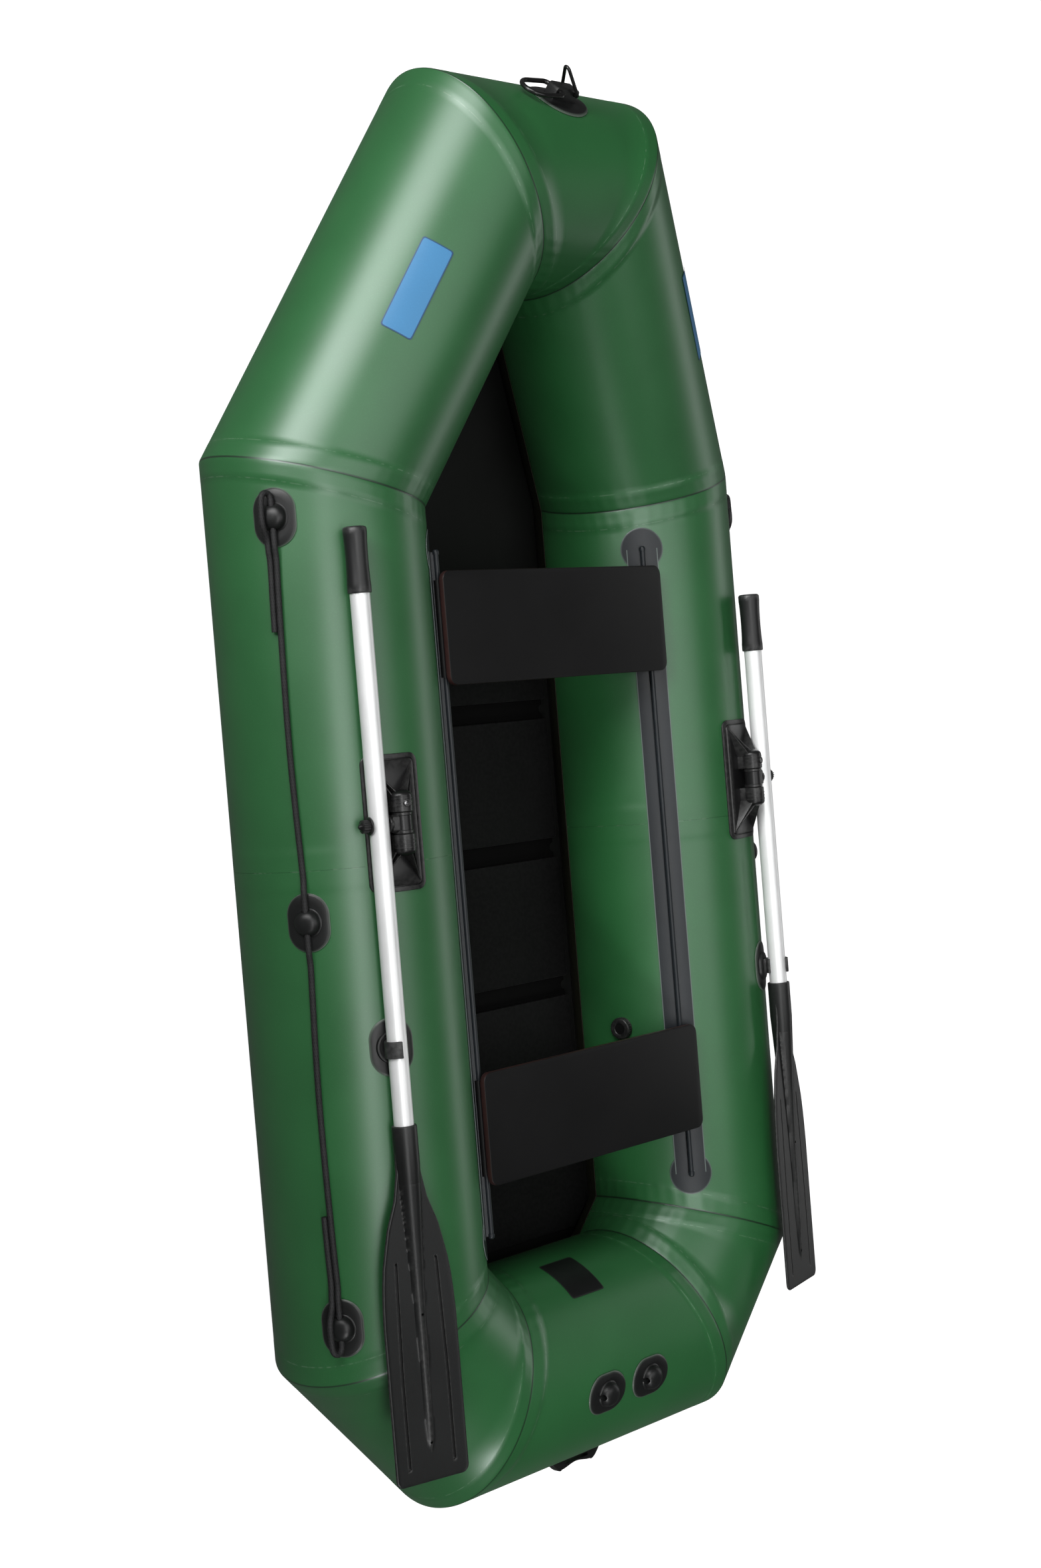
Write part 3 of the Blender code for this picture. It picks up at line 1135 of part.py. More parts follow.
def build_valve(name, ahead, side):
    """An air valve: flanged body, sprung plunger and ribbed cap."""
    frame = side_frame(VALVE_ANGLE, ahead)
    place = frame @ Vector((0.0, 0.0, TUBE_RADIUS))
    if side == PORT:
        place.x = -place.x
    sag = VALVE_FLANGE_RADIUS ** 2 / (2 * TUBE_RADIUS)
    flange_top = TUBE_RADIUS - VALVE_FLANGE_DROP - sag - CLEARANCE
    flange_low = flange_top - VALVE_FLANGE_WALL
    outer_top = TUBE_RADIUS + VALVE_STAND
    floor = TUBE_RADIUS - VALVE_DEPTH
    seat = floor + VALVE_SEAT_WALL
    body = turned("valve_body", [
        (VALVE_BARREL_RADIUS, outer_top), (VALVE_BARREL_RADIUS, flange_top),
        (VALVE_FLANGE_RADIUS, flange_top), (VALVE_FLANGE_RADIUS, flange_low),
        (VALVE_BARREL_RADIUS - VALVE_STEP, flange_low - VALVE_STEP),
        (VALVE_BARREL_RADIUS - VALVE_STEP, floor),
        (VALVE_GUIDE_RADIUS, floor), (VALVE_GUIDE_RADIUS, seat), (VALVE_BORE, seat),
        (VALVE_BORE, outer_top),
    ], frame, SMALL_SIDES, ring=True)
    for quarter in range(4):
        spoke = frame @ Matrix.Rotation(math.radians(45 + 90 * quarter), 4, "Z")
        middle = spoke @ Matrix.Translation(((VALVE_GUIDE_RADIUS + VALVE_BORE) / 2, 0, 0))
        vent = cylinder("vent", VALVE_VENT_RADIUS, floor - VALVE_STEP, seat + VALVE_STEP, middle, 6)
        combine(body, vent, "DIFFERENCE")
    finish(body, "valve_body_" + name, BLACK_PLASTIC, side=side)

    push = joint_empty("valve_push_" + name, place)
    head_top = outer_top - PLUNGER_SINK
    head_low = head_top - PLUNGER_HEAD_WALL
    stem_low = floor - PLUNGER_TAIL
    plunger = turned("plunger", [
        (0.0, head_top), (PLUNGER_HEAD_RADIUS - PLUNGER_EDGE, head_top),
        (PLUNGER_HEAD_RADIUS, head_top - PLUNGER_EDGE),
        (PLUNGER_HEAD_RADIUS, head_low), (PLUNGER_STEM_RADIUS, head_low),
        (PLUNGER_STEM_RADIUS, stem_low), (0.0, stem_low),
    ], frame, SMALL_SIDES)
    finish(plunger, "valve_plunger_" + name, BLACK_PLASTIC, push, side)

    low = seat + SPRING_WIRE + CLEARANCE
    high = head_low - SPRING_WIRE - CLEARANCE
    coils = []
    for index in range(SPRING_TURNS * SPRING_STEPS + 1):
        turn = 2 * math.pi * index / SPRING_STEPS
        climb = low + (high - low) * index / (SPRING_TURNS * SPRING_STEPS)
        coils.append((SPRING_RADIUS * math.cos(turn), SPRING_RADIUS * math.sin(turn), climb))
    spring = rod("spring", coils, SPRING_WIRE, frame, sides=6)
    finish(spring, "valve_spring_" + name, STEEL, push, side)

    turn = joint_empty("valve_cap_turn_" + name, place)
    cap_low = TUBE_RADIUS + RUNNING_GAP
    cap_top = cap_low + VALVE_CAP_HEIGHT
    well = VALVE_BARREL_RADIUS + RUNNING_GAP
    ceiling = cap_top - VALVE_CAP_WALL
    cap = turned("cap", [
        (0.0, cap_top), (VALVE_CAP_RADIUS - VALVE_CAP_EDGE, cap_top),
        (VALVE_CAP_RADIUS - VALVE_CAP_CORNER, cap_top - VALVE_CAP_STEP),
        (VALVE_CAP_RADIUS, cap_top - VALVE_CAP_EDGE), (VALVE_CAP_RADIUS, cap_low), (well, cap_low),
        (well, ceiling), (0.0, ceiling),
    ], frame, ROUND_SIDES)
    for index in range(VALVE_CAP_RIBS):
        spoke = frame @ Matrix.Rotation(2 * math.pi * index / VALVE_CAP_RIBS, 4, "Z")
        place = spoke @ Matrix.Translation((VALVE_CAP_RADIUS + VALVE_FLUTE_OUT, 0, 0))
        flute = cylinder("flute", VALVE_FLUTE_RADIUS, cap_low - VALVE_STEP, cap_top + VALVE_STEP, place, 6)
        combine(cap, flute, "DIFFERENCE")
    return finish(cap, "valve_cap_" + name, BLACK_PLASTIC, turn, side)


def build_bow_bracket():
    """The bow patch with its drilled block, and the round and the triangular ring in it."""
    frame = cross_frame(BOW_CENTRE, BOW_PATCH_ANGLE, 0.0)
    shape = oval(BOW_PATCH_DEPTH, BOW_PATCH_WIDTH, 28)
    patch = glued_pad("bow_patch", shape, BOW_PATCH_WALL, frame, BOW_RADIUS)
    foot = BOW_RADIUS + CLEARANCE + BOW_PATCH_WALL / 3
    top = BOW_RADIUS + BRACKET_HEIGHT
    profile = [
        (-BRACKET_LENGTH / 2, foot), (BRACKET_LENGTH / 2, foot),
        (BRACKET_LENGTH / 2, top - BRACKET_SHOULDER), (BRACKET_LENGTH / 2 - BRACKET_CHAMFER, top),
        (-BRACKET_LENGTH / 2 + BRACKET_CHAMFER, top), (-BRACKET_LENGTH / 2, top - BRACKET_SHOULDER),
    ]
    upright = Matrix.Identity(4)
    upright.col[0] = (0.0, 1.0, 0.0, 0.0)
    upright.col[1] = (0.0, 0.0, 1.0, 0.0)
    upright.col[2] = (1.0, 0.0, 0.0, 0.0)
    block = prism("block", profile, -BRACKET_WIDTH / 2, BRACKET_WIDTH, frame @ upright)
    round_edges(block, BRACKET_EDGE)
    combine(patch, block, "UNION")
    height = BOW_RADIUS + RING_HOLE_HEIGHT
    for hand, wire in ((-1, ROUND_RING_ROD), (1, TRIANGLE_RING_ROD)):
        spot = frame @ Matrix.Translation((0, hand * RING_HOLE_X, height)) @ ALONG_X
        hole = cylinder("hole", wire + RUNNING_GAP, -BRACKET_WIDTH, BRACKET_WIDTH, spot, SMALL_SIDES)
        combine(patch, hole, "DIFFERENCE")
    finish(patch, "bow_bracket", PAD_RUBBER)

    half_bar = ROUND_RING_HALF
    bend = ROUND_RING_BEND
    round_loop = arc((half_bar - bend, bend), bend, -90, 0, 4)
    round_loop += arc((0.0, ROUND_RING_LENGTH - half_bar), half_bar, 0, 180, 12)
    round_loop += arc((bend - half_bar, bend), bend, 180, 270, 4)
    finish_ring("left", round_loop, ROUND_RING_ROD, -1, ROUND_RING_DROOP, frame)

    half_bar = TRIANGLE_RING_HALF
    bend = TRIANGLE_RING_BEND
    tip = TRIANGLE_RING_TIP
    slope = TRIANGLE_RING_SLOPE
    triangle_loop = arc((half_bar - bend, bend), bend, -90, slope, 4)
    triangle_loop += arc((0.0, TRIANGLE_RING_LENGTH - tip), tip, slope, 180 - slope, 5)
    triangle_loop += arc((bend - half_bar, bend), bend, 180 - slope, 270, 4)
    finish_ring("right", triangle_loop, TRIANGLE_RING_ROD, 1, TRIANGLE_RING_LEAN, frame)


def finish_ring(name, loop, wire, hand, lift, frame):
    """Bend a ring's loop and hang it in its hole, lifted from the patch by an angle."""
    hinge = frame @ Matrix.Translation((0, hand * RING_HOLE_X, BOW_RADIUS + RING_HOLE_HEIGHT))
    carrier = joint_empty("bow_ring_swing_" + name, hinge.translation)
    lean = math.radians(lift)
    points = [(x, -reach * math.cos(lean), reach * math.sin(lean)) for x, reach in loop]
    ring = rod("ring", points, wire, hinge, closed=True)
    finish(ring, "bow_ring_" + name, BLACK_PLASTIC, carrier)


def build_stern_handle():
    """The moulded carrying handle on the aft face, with an upright slot behind its waist."""
    frame = Matrix.Identity(4)
    frame.col[1] = (0.0, -1.0, 0.0, 0.0)
    frame.col[2] = (0.0, 0.0, -1.0, 0.0)
    frame.col[3] = (0.0, STERN_CENTRE[0], STERN_CENTRE[1] + HANDLE_RISE, 1.0)
    foot = math.sqrt(TUBE_RADIUS ** 2 - (HANDLE_RISE - HANDLE_HEIGHT / 2) ** 2)
    crest = []
    count = 16
    for index in range(count + 1):
        across = HANDLE_HALF * (2 * index / count - 1)
        reach = abs(across)
        if reach < HANDLE_LOBE_X:
            share = 0.5 - 0.5 * math.cos(math.pi * reach / HANDLE_LOBE_X)
            height = HANDLE_WAIST + (HANDLE_LOBE - HANDLE_WAIST) * share
        else:
            share = (reach - HANDLE_LOBE_X) / (HANDLE_HALF - HANDLE_LOBE_X)
            height = HANDLE_LOBE * math.cos(math.pi / 2 * share) + HANDLE_EDGE
        crest.append((across, foot + height))
    base = foot - HANDLE_LOBE
    outline = [(HANDLE_HALF, base), (-HANDLE_HALF, base)] + crest
    strap = prism("handle", outline, -HANDLE_HEIGHT / 2, HANDLE_HEIGHT, frame)
    slot_shape = rounded_rectangle(2 * HANDLE_SLOT_HALF, HANDLE_SLOT, HANDLE_SLOT_CORNER, 4)
    slot_frame = frame @ Matrix.Translation((0, foot + HANDLE_SLOT_LIFT + HANDLE_SLOT / 2, 0))
    combine(strap, prism("slot", slot_shape, -HANDLE_HEIGHT, 2 * HANDLE_HEIGHT, slot_frame), "DIFFERENCE")
    reach = 2 * HANDLE_HALF
    axis = Matrix.Translation((0.0, *STERN_CENTRE)) @ ALONG_X
    tube = cylinder("tube", TUBE_RADIUS + CLEARANCE, -reach, reach, axis, SLEEVE_SIDES)
    combine(strap, tube, "DIFFERENCE")
    return finish(strap, "stern_handle", BLACK_PLASTIC)


build_chamber("bow_chamber", True, valve_hole(BOW_VALVE_Y, PORT))
build_chamber("stern_chamber", False, valve_hole(STERN_VALVE_Y, STARBOARD))
build_bottom()
build_floor()
build_seat("front", SEAT_FRONT_Y)
build_seat("rear", SEAT_REAR_Y)
OAR_SIZES = {
    PORT: (PORT_GRIP_END, PORT_BLADE_START),
    STARBOARD: (STARBOARD_GRIP_END, STARBOARD_BLADE_START),
}
for boat_side in SIDES:
    build_bulkhead(boat_side)
    build_rail(boat_side)
    build_oarlock_base(boat_side)
    roll = build_oarlock_barrel(boat_side)
    build_nut(boat_side, roll)
    build_oar(boat_side, roll, *OAR_SIZES[boat_side])
    build_clip(boat_side)
    for order, station in enumerate(EYELET_STATIONS):
        eyelet_name = "line_eyelet_" + boat_side + "_" + str(order + 1)
        build_eyelet(eyelet_name, side_frame(EYELET_ANGLE, station), TUBE_RADIUS, boat_side)
    stern_place = cross_frame(STERN_CENTRE, STERN_EYELET_ANGLE, STERN_EYELET_X)
    build_eyelet("stern_eyelet_" + boat_side, stern_place, TUBE_RADIUS, boat_side)
    build_lifeline(boat_side)
build_valve("bow", BOW_VALVE_Y, PORT)
build_valve("stern", STERN_VALVE_Y, STARBOARD)
build_bow_bracket()
build_stern_handle()
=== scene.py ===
"""Dressed scene of a two-seat inflatable rowing boat, bow towards +Y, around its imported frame."""

import json
import logging
import math
from dataclasses import dataclass
from enum import Enum

import bmesh
import bpy
from mathutils import Matrix, Vector, noise

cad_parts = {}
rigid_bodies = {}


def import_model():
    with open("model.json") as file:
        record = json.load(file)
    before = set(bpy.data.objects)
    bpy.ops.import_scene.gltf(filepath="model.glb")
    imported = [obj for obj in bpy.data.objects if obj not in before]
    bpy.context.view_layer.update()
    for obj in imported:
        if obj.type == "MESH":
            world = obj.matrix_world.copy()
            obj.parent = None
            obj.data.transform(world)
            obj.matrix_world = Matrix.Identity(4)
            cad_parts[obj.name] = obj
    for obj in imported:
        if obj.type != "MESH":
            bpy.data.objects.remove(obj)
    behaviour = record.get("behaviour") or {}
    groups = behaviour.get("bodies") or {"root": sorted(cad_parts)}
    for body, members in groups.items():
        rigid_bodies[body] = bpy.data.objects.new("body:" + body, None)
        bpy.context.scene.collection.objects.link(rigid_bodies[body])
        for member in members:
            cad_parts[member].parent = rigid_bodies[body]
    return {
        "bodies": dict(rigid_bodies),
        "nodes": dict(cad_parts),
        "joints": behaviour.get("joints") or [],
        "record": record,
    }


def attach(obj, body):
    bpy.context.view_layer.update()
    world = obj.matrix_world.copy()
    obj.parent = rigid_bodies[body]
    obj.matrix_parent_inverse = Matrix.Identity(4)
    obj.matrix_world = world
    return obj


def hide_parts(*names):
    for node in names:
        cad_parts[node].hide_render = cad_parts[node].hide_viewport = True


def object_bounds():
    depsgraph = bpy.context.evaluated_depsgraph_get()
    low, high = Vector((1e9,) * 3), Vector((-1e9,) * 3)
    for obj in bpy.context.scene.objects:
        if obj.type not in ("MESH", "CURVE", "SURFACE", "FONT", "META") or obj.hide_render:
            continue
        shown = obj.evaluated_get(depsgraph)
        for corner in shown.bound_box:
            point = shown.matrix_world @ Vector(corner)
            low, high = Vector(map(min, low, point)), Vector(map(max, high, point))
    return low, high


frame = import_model()
CAD_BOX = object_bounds()

LOG = logging.getLogger("inflatable_boat")
logging.basicConfig(level=logging.INFO, format="%(name)s: %(message)s")

Flat = tuple[float, float]
Triple = tuple[float, float, float]
Colour = Triple

# Sizes that the frame was built with, in metres and degrees
CLEARANCE = 0.0003
TUBE_RADIUS = 0.170
HULL_HALF = 0.372
MID_SEAM_Y = -0.0793
BOW_CENTRE = (0.9577, 0.295)
BOW_RADIUS = 0.1675
STERN_CENTRE = (-0.9393, 0.170)
ROLL_AXIS_RADIUS = 0.194
SHAFT_OFFSET = 0.040
SHAFT_RADIUS = 0.015
OARLOCK_ANGLE = 14.0
LIFELINE_ANGLE = 62.5

# The hull's seams: half the tape's width, and how far off a seam the mesh's marks reach
SEAM_TAPE = 0.030
SEAM_REACH = 0.100

ALONG_X = Matrix.Rotation(math.pi / 2, 4, "Y")
ALONG_Y = Matrix.Rotation(-math.pi / 2, 4, "X")
FLIP_X = Matrix.Scale(-1.0, 4, (1.0, 0.0, 0.0))


class Side(Enum):
    """A side of the boat."""

    STARBOARD = "right"
    PORT = "left"


class Weave(Enum):
    """How a finish's fine relief is laid out."""

    GRAIN = "grain"
    BRUSHED = "brushed"
    WOVEN = "woven"


# Node trees


class Graph:
    """Adds and links nodes in a shader or geometry tree."""

    def __init__(self, tree: bpy.types.NodeTree) -> None:
        """Keep the tree that the nodes go into."""
        self.tree = tree

    def add(self, kind: str, inputs: dict[str | int, object] | None = None, **settings: object) -> bpy.types.Node:
        """Add a node.

        Args:
            kind: the node's type name.
            inputs: what its sockets get, by name or number.
            settings: properties to set on it.

        Returns:
            The new node.
        """
        made = self.tree.nodes.new(kind)
        for key, value in settings.items():
            setattr(made, key, value)
        self.fill(made, inputs or {})
        return made

    def fill(self, node: bpy.types.Node, inputs: dict[str | int, object]) -> None:
        """Link a node's sockets to other sockets, or set their values.

        Args:
            node: the node.
            inputs: another socket or a value for each, by name or number.
        """
        for key, value in inputs.items():
            if isinstance(value, bpy.types.NodeSocket):
                self.tree.links.new(value, node.inputs[key])
            else:
                node.inputs[key].default_value = value

    def math(self, operation: str, *values: object) -> bpy.types.NodeSocket:
        """Work out an operation on numbers or sockets, given in order."""
        return self.add("ShaderNodeMath", dict(enumerate(values)), operation=operation).outputs[0]

    def band(self, value: object, low: float, high: float) -> bpy.types.NodeSocket:
        """Map a value smoothly from 0 at low to 1 at high, which may be below low.

        Args:
            value: the value to map.
            low: where the result is 0.
            high: where the result is 1.

        Returns:
            The mapped value.
        """
        start, end, first, last = (low, high, 0.0, 1.0) if low < high else (high, low, 1.0, 0.0)
        inputs = {"Value": value, "From Min": start, "From Max": end, "To Min": first, "To Max": last}
        return self.add("ShaderNodeMapRange", inputs, interpolation_type="SMOOTHSTEP").outputs[0]

    def mix(self, share: object, first: object, second: object) -> bpy.types.NodeSocket:
        """Mix two colours, by how much of the second one shows."""
        return self.add("ShaderNodeMix", {0: share, 6: first, 7: second}, data_type="RGBA").outputs[2]

    def place(self) -> bpy.types.NodeSocket:
        """Give the place on the object."""
        return self.add("ShaderNodeTexCoord").outputs["Object"]

    def noise(self, place: bpy.types.NodeSocket, scale: object, detail: float = 2.0) -> bpy.types.NodeSocket:
        """Give a cloudy number at a place."""
        return self.add("ShaderNodeTexNoise", {"Vector": place, "Scale": scale, "Detail": detail}).outputs[0]

    def attribute(self, name: str) -> bpy.types.NodeSocket:
        """Read a number that is stored on the mesh."""
        return self.add("ShaderNodeAttribute", attribute_name=name).outputs["Fac"]


def opaque(colour: Colour) -> tuple[float, float, float, float]:
    """Add a full alpha to a colour."""
    return (*colour, 1.0)


def make_relief_group(weave: Weave) -> bpy.types.NodeTree:
    """Build the shader group for a surface's fine relief and its slow change of tone.

    Args:
        weave: how the relief is laid out.

    Returns:
        A group with inputs Scale, Depth and Tone Scale, and outputs Normal, Speck and Tone.
    """
    tree = bpy.data.node_groups.new(weave.value + "_relief", "ShaderNodeTree")
    for name, value in (("Scale", 900.0), ("Depth", 0.0001), ("Tone Scale", 9.0)):
        tree.interface.new_socket(name, in_out="INPUT", socket_type="NodeSocketFloat").default_value = value
    for name, kind in (("Normal", "NodeSocketVector"), ("Speck", "NodeSocketFloat"), ("Tone", "NodeSocketFloat")):
        tree.interface.new_socket(name, in_out="OUTPUT", socket_type=kind)
    graph = Graph(tree)
    entry = graph.add("NodeGroupInput").outputs
    place = graph.place()
    if weave is Weave.BRUSHED:
        stretch = graph.add("ShaderNodeMapping", {"Vector": place, "Scale": (1.0, 0.018, 1.0)}, vector_type="POINT")
        height = graph.noise(stretch.outputs[0], entry["Scale"], 5.0)
    elif weave is Weave.WOVEN:
        split = graph.add("ShaderNodeSeparateXYZ", {0: place})
        turns = [graph.math("MULTIPLY", split.outputs[axis], entry["Scale"]) for axis in (0, 1)]
        height = graph.math("MULTIPLY", *(graph.math("ABSOLUTE", graph.math("SINE", turn)) for turn in turns))
    else:
        inputs = {"Vector": place, "Scale": entry["Scale"], "Smoothness": 0.6}
        height = graph.add("ShaderNodeTexVoronoi", inputs, feature="SMOOTH_F1").outputs["Distance"]
    bump = graph.add("ShaderNodeBump", {"Distance": entry["Depth"], "Height": height})
    speck = graph.noise(place, graph.math("MULTIPLY", entry["Scale"], 0.45), 3.0)
    graph.add("NodeGroupOutput", {
        "Normal": bump.outputs[0],
        "Speck": height if weave is Weave.BRUSHED else speck,
        "Tone": graph.noise(place, entry["Tone Scale"], 4.0),
    })
    return tree


def make_wear_group() -> bpy.types.NodeTree:
    """Build the shader group that breaks a mesh's own edge number into worn patches.

    Returns:
        A group with inputs Edge and Amount and the output Mask.
    """
    tree = bpy.data.node_groups.new("edge_wear", "ShaderNodeTree")
    for name in ("Edge", "Amount"):
        tree.interface.new_socket(name, in_out="INPUT", socket_type="NodeSocketFloat")
    tree.interface.new_socket("Mask", in_out="OUTPUT", socket_type="NodeSocketFloat")
    graph = Graph(tree)
    entry = graph.add("NodeGroupInput").outputs
    broken = graph.band(graph.noise(graph.place(), 160.0, 4.0), 0.35, 0.65)
    worn = graph.math("MULTIPLY", graph.band(entry["Edge"], 0.15, 0.85), graph.math("ADD", broken, 0.35))
    graph.add("NodeGroupOutput", {"Mask": graph.math("MULTIPLY", worn, entry["Amount"])})
    return tree


RELIEF_GROUPS = {weave: make_relief_group(weave) for weave in Weave}
WEAR_GROUP = make_wear_group()


@dataclass(frozen=True)
class Finish:
    """A surface finish: its colour, how it shines, its fine relief and its wear."""

    name: str
    colour: Colour
    roughness: float = 0.5
    metallic: float = 0.0
    weave: Weave = Weave.GRAIN
    scale: float = 900.0
    depth: float = 0.00006
    tone: float = 0.12
    speck: float = 0.10
    gloss_change: float = 0.08
    wear: float = 0.0
    wear_colour: Colour = (0.20, 0.20, 0.20)
    specular: float = 0.5
    sheen: Colour = (1.0, 1.0, 1.0)

    def make(self) -> bpy.types.Material:
        """Build the material, or return it if it was built before.

        Returns:
            The material.
        """
        label = self.name + "_finish"
        known = bpy.data.materials.get(label)
        if known is not None:
            return known
        material = bpy.data.materials.new(label)
        material.use_nodes = True
        graph = Graph(material.node_tree)
        relief = graph.add("ShaderNodeGroup", {"Scale": self.scale, "Depth": self.depth},
                           node_tree=RELIEF_GROUPS[self.weave])
        shine = graph.math("MULTIPLY_ADD", relief.outputs["Tone"], self.gloss_change,
                           self.roughness - self.gloss_change / 2)
        graph.fill(material.node_tree.nodes["Principled BSDF"], {
            "Base Color": self.tint(graph, relief),
            "Metallic": self.metallic,
            "Roughness": shine,
            "Specular IOR Level": self.specular,
            "Specular Tint": opaque(self.sheen),
            "Normal": relief.outputs["Normal"],
        })
        material.diffuse_color = opaque(self.colour)
        return material

    def tint(self, graph: Graph, relief: bpy.types.Node) -> bpy.types.NodeSocket:
        """Colour the surface by its tone, its specks and its worn edges.

        Args:
            graph: the material's nodes.
            relief: the relief group's node.

        Returns:
            The base colour.
        """
        dark = opaque(tuple(value * (1 - self.tone) for value in self.colour))
        light = opaque(tuple(min(1.0, value * (1 + self.tone)) for value in self.colour))
        slow = graph.mix(graph.band(relief.outputs["Tone"], 0.3, 0.7), dark, light)
        spotted = opaque(tuple(min(1.0, value * 1.5 + 0.01) for value in self.colour))
        fine = graph.math("MULTIPLY", graph.band(relief.outputs["Speck"], 0.5, 0.75), self.speck)
        colour = graph.mix(fine, slow, spotted)
        if self.wear:
            worn = graph.add("ShaderNodeGroup", {"Edge": graph.attribute("edge"), "Amount": self.wear},
                             node_tree=WEAR_GROUP)
            colour = graph.mix(worn.outputs["Mask"], colour, opaque(self.wear_colour))
        return colour


@dataclass(frozen=True)
class HullFinish(Finish):
    """Coated fabric with dark mitre seams and the pale, broken edges of the seam tape."""

    seam_colour: Colour = (0.006, 0.018, 0.008)
    weld_colour: Colour = (0.16, 0.26, 0.17)

    def tint(self, graph: Graph, relief: bpy.types.Node) -> bpy.types.NodeSocket:
        """Colour the fabric and draw its seams by the mesh's own distance to them.

        Args:
            graph: the material's nodes.
            relief: the relief group's node.

        Returns:
            The base colour.
        """
        colour = super().tint(graph, relief)
        reach = graph.math("SUBTRACT", SEAM_REACH, graph.attribute("near"))
        dark = graph.math("MULTIPLY", graph.band(reach, 0.0022, 0.0008), 0.92)
        colour = graph.mix(dark, colour, opaque(self.seam_colour))
        off = graph.math("ABSOLUTE", graph.math("SUBTRACT", reach, SEAM_TAPE))
        patchy = graph.band(graph.noise(graph.place(), 95.0), 0.46, 0.60)
        share = graph.math("MULTIPLY", graph.band(off, 0.0013, 0.0003), graph.math("MULTIPLY", patchy, 0.35))
        return graph.mix(share, colour, opaque(self.weld_colour))


@dataclass(frozen=True)
class RimFinish(Finish):
    """Rubber, plastic or fabric whose mesh marks a second colour: on the bottom's flange and the printed borders it
    is their own colour, on pad, rail and rope edges a painted highlight, in the blade's grooves painted shade.
    """

    rim_colour_and_painted_light: Colour = (0.30, 0.33, 0.31)
    rim_share: float = 0.8

    def tint(self, graph: Graph, relief: bpy.types.Node) -> bpy.types.NodeSocket:
        """Colour the surface, and its rim in the second colour, which is painted highlight on pads, rails and rope
        and painted shade on the blade.
        """
        share = graph.math("MULTIPLY", graph.attribute("rim"), self.rim_share)
        return graph.mix(share, super().tint(graph, relief), opaque(self.rim_colour_and_painted_light))


HULL_GREEN = HullFinish("green_hull_fabric", (0.017, 0.105, 0.029), 0.38, scale=1000.0, depth=0.00002,
                        tone=0.05, speck=0.22, gloss_change=0.05, specular=0.95, sheen=(0.93, 1.0, 0.98))
BOTTOM_OLIVE = RimFinish("olive_bottom_fabric", (0.004, 0.0045, 0.004), 0.60, rim_colour_and_painted_light=(0.012, 0.0125, 0.006),
                         rim_share=1.0, tone=0.10, specular=0.25)
FLOOR_FABRIC = Finish("black_floor_fabric", (0.0015, 0.0015, 0.0015), 0.80, weave=Weave.WOVEN, scale=2600.0,
                      depth=0.00012, tone=0.15, specular=0.1)
FLOOR_BOARD = Finish("black_floor_board", (0.003, 0.003, 0.0031), 0.55, scale=420.0, depth=0.00005, tone=0.15,
                     wear=0.35, wear_colour=(0.020, 0.020, 0.020), specular=0.15)
SEAT_BLACK = Finish("black_seat_board", (0.0052, 0.0052, 0.0054), 0.45, scale=700.0, depth=0.00003, tone=0.06,
                    speck=0.05, specular=0.2)
SEAT_EDGE = Finish("seat_board_edge", (0.026, 0.009, 0.008), 0.50, scale=500.0, tone=0.30)
# The rail's pale rim colour is a painted highlight along the strip's outer edges and the edges of its end pads.
RAIL_SLATE = RimFinish("rail_rubber", (0.013, 0.016, 0.019), 0.38, rim_colour_and_painted_light=(0.150, 0.185, 0.170), rim_share=0.8,
                       tone=0.10, specular=0.35)
# The pad's pale rim colour is a painted highlight along the edges of the eyelet, clip and bow pads.
PAD_RUBBER = RimFinish("pad_rubber", (0.0075, 0.0080, 0.0080), 0.40, rim_colour_and_painted_light=(0.120, 0.155, 0.125), rim_share=0.8,
                       depth=0.00002, tone=0.06, speck=0.04, wear=0.06, wear_colour=(0.04, 0.04, 0.04), specular=0.4)
BLACK_PLASTIC = Finish("black_plastic", (0.0055, 0.0055, 0.0058), 0.34, scale=650.0, depth=0.00002, tone=0.08,
                       speck=0.04, wear=0.20, wear_colour=(0.08, 0.08, 0.078), specular=0.45)
# The blade's near-black rim colour is painted shade in the floors of its grooves.
BLADE_PLASTIC = RimFinish("blade_plastic", (0.0065, 0.0070, 0.0070), 0.40, rim_colour_and_painted_light=(0.0006, 0.0006, 0.0006),
                          rim_share=1.0, scale=520.0, depth=0.00006, tone=0.12, wear=0.22,
                          wear_colour=(0.08, 0.08, 0.078), specular=0.45)
GRIP_RUBBER = Finish("grip_rubber", (0.0075, 0.0078, 0.0082), 0.40, scale=800.0, depth=0.00005, tone=0.08,
                     wear=0.15)
ALUMINIUM = Finish("bright_aluminium", (0.90, 0.91, 0.91), 0.42, 0.40, weave=Weave.BRUSHED, scale=420.0,
                   depth=0.00002, tone=0.05, speck=0.25, gloss_change=0.10)
STEEL = Finish("turned_steel", (0.55, 0.55, 0.56), 0.30, 1.0, scale=900.0, depth=0.00001, tone=0.05)
# The rope's grey rim colour is a painted highlight on the crests of its strands.
ROPE_BLACK = RimFinish("black_rope", (0.008, 0.008, 0.0085), 0.62, rim_colour_and_painted_light=(0.07, 0.07, 0.072), rim_share=0.8,
                       scale=2400.0, depth=0.00008, tone=0.20, speck=0.35, specular=0.3)
PAD_PLAIN = Finish("pad_moulding", (0.014, 0.015, 0.015), 0.44, scale=700.0, depth=0.00004, tone=0.10, wear=0.35,
                   wear_colour=(0.09, 0.09, 0.09), specular=0.4)
RING_PLASTIC = Finish("ring_plastic", (0.007, 0.007, 0.007), 0.28, scale=900.0, depth=0.00002, tone=0.06)
PLATE_BLUE = RimFinish("plain_blue_patch", (0.045, 0.200, 0.400), 0.40, rim_colour_and_painted_light=(0.010, 0.040, 0.120),
                       rim_share=0.9, tone=0.04)
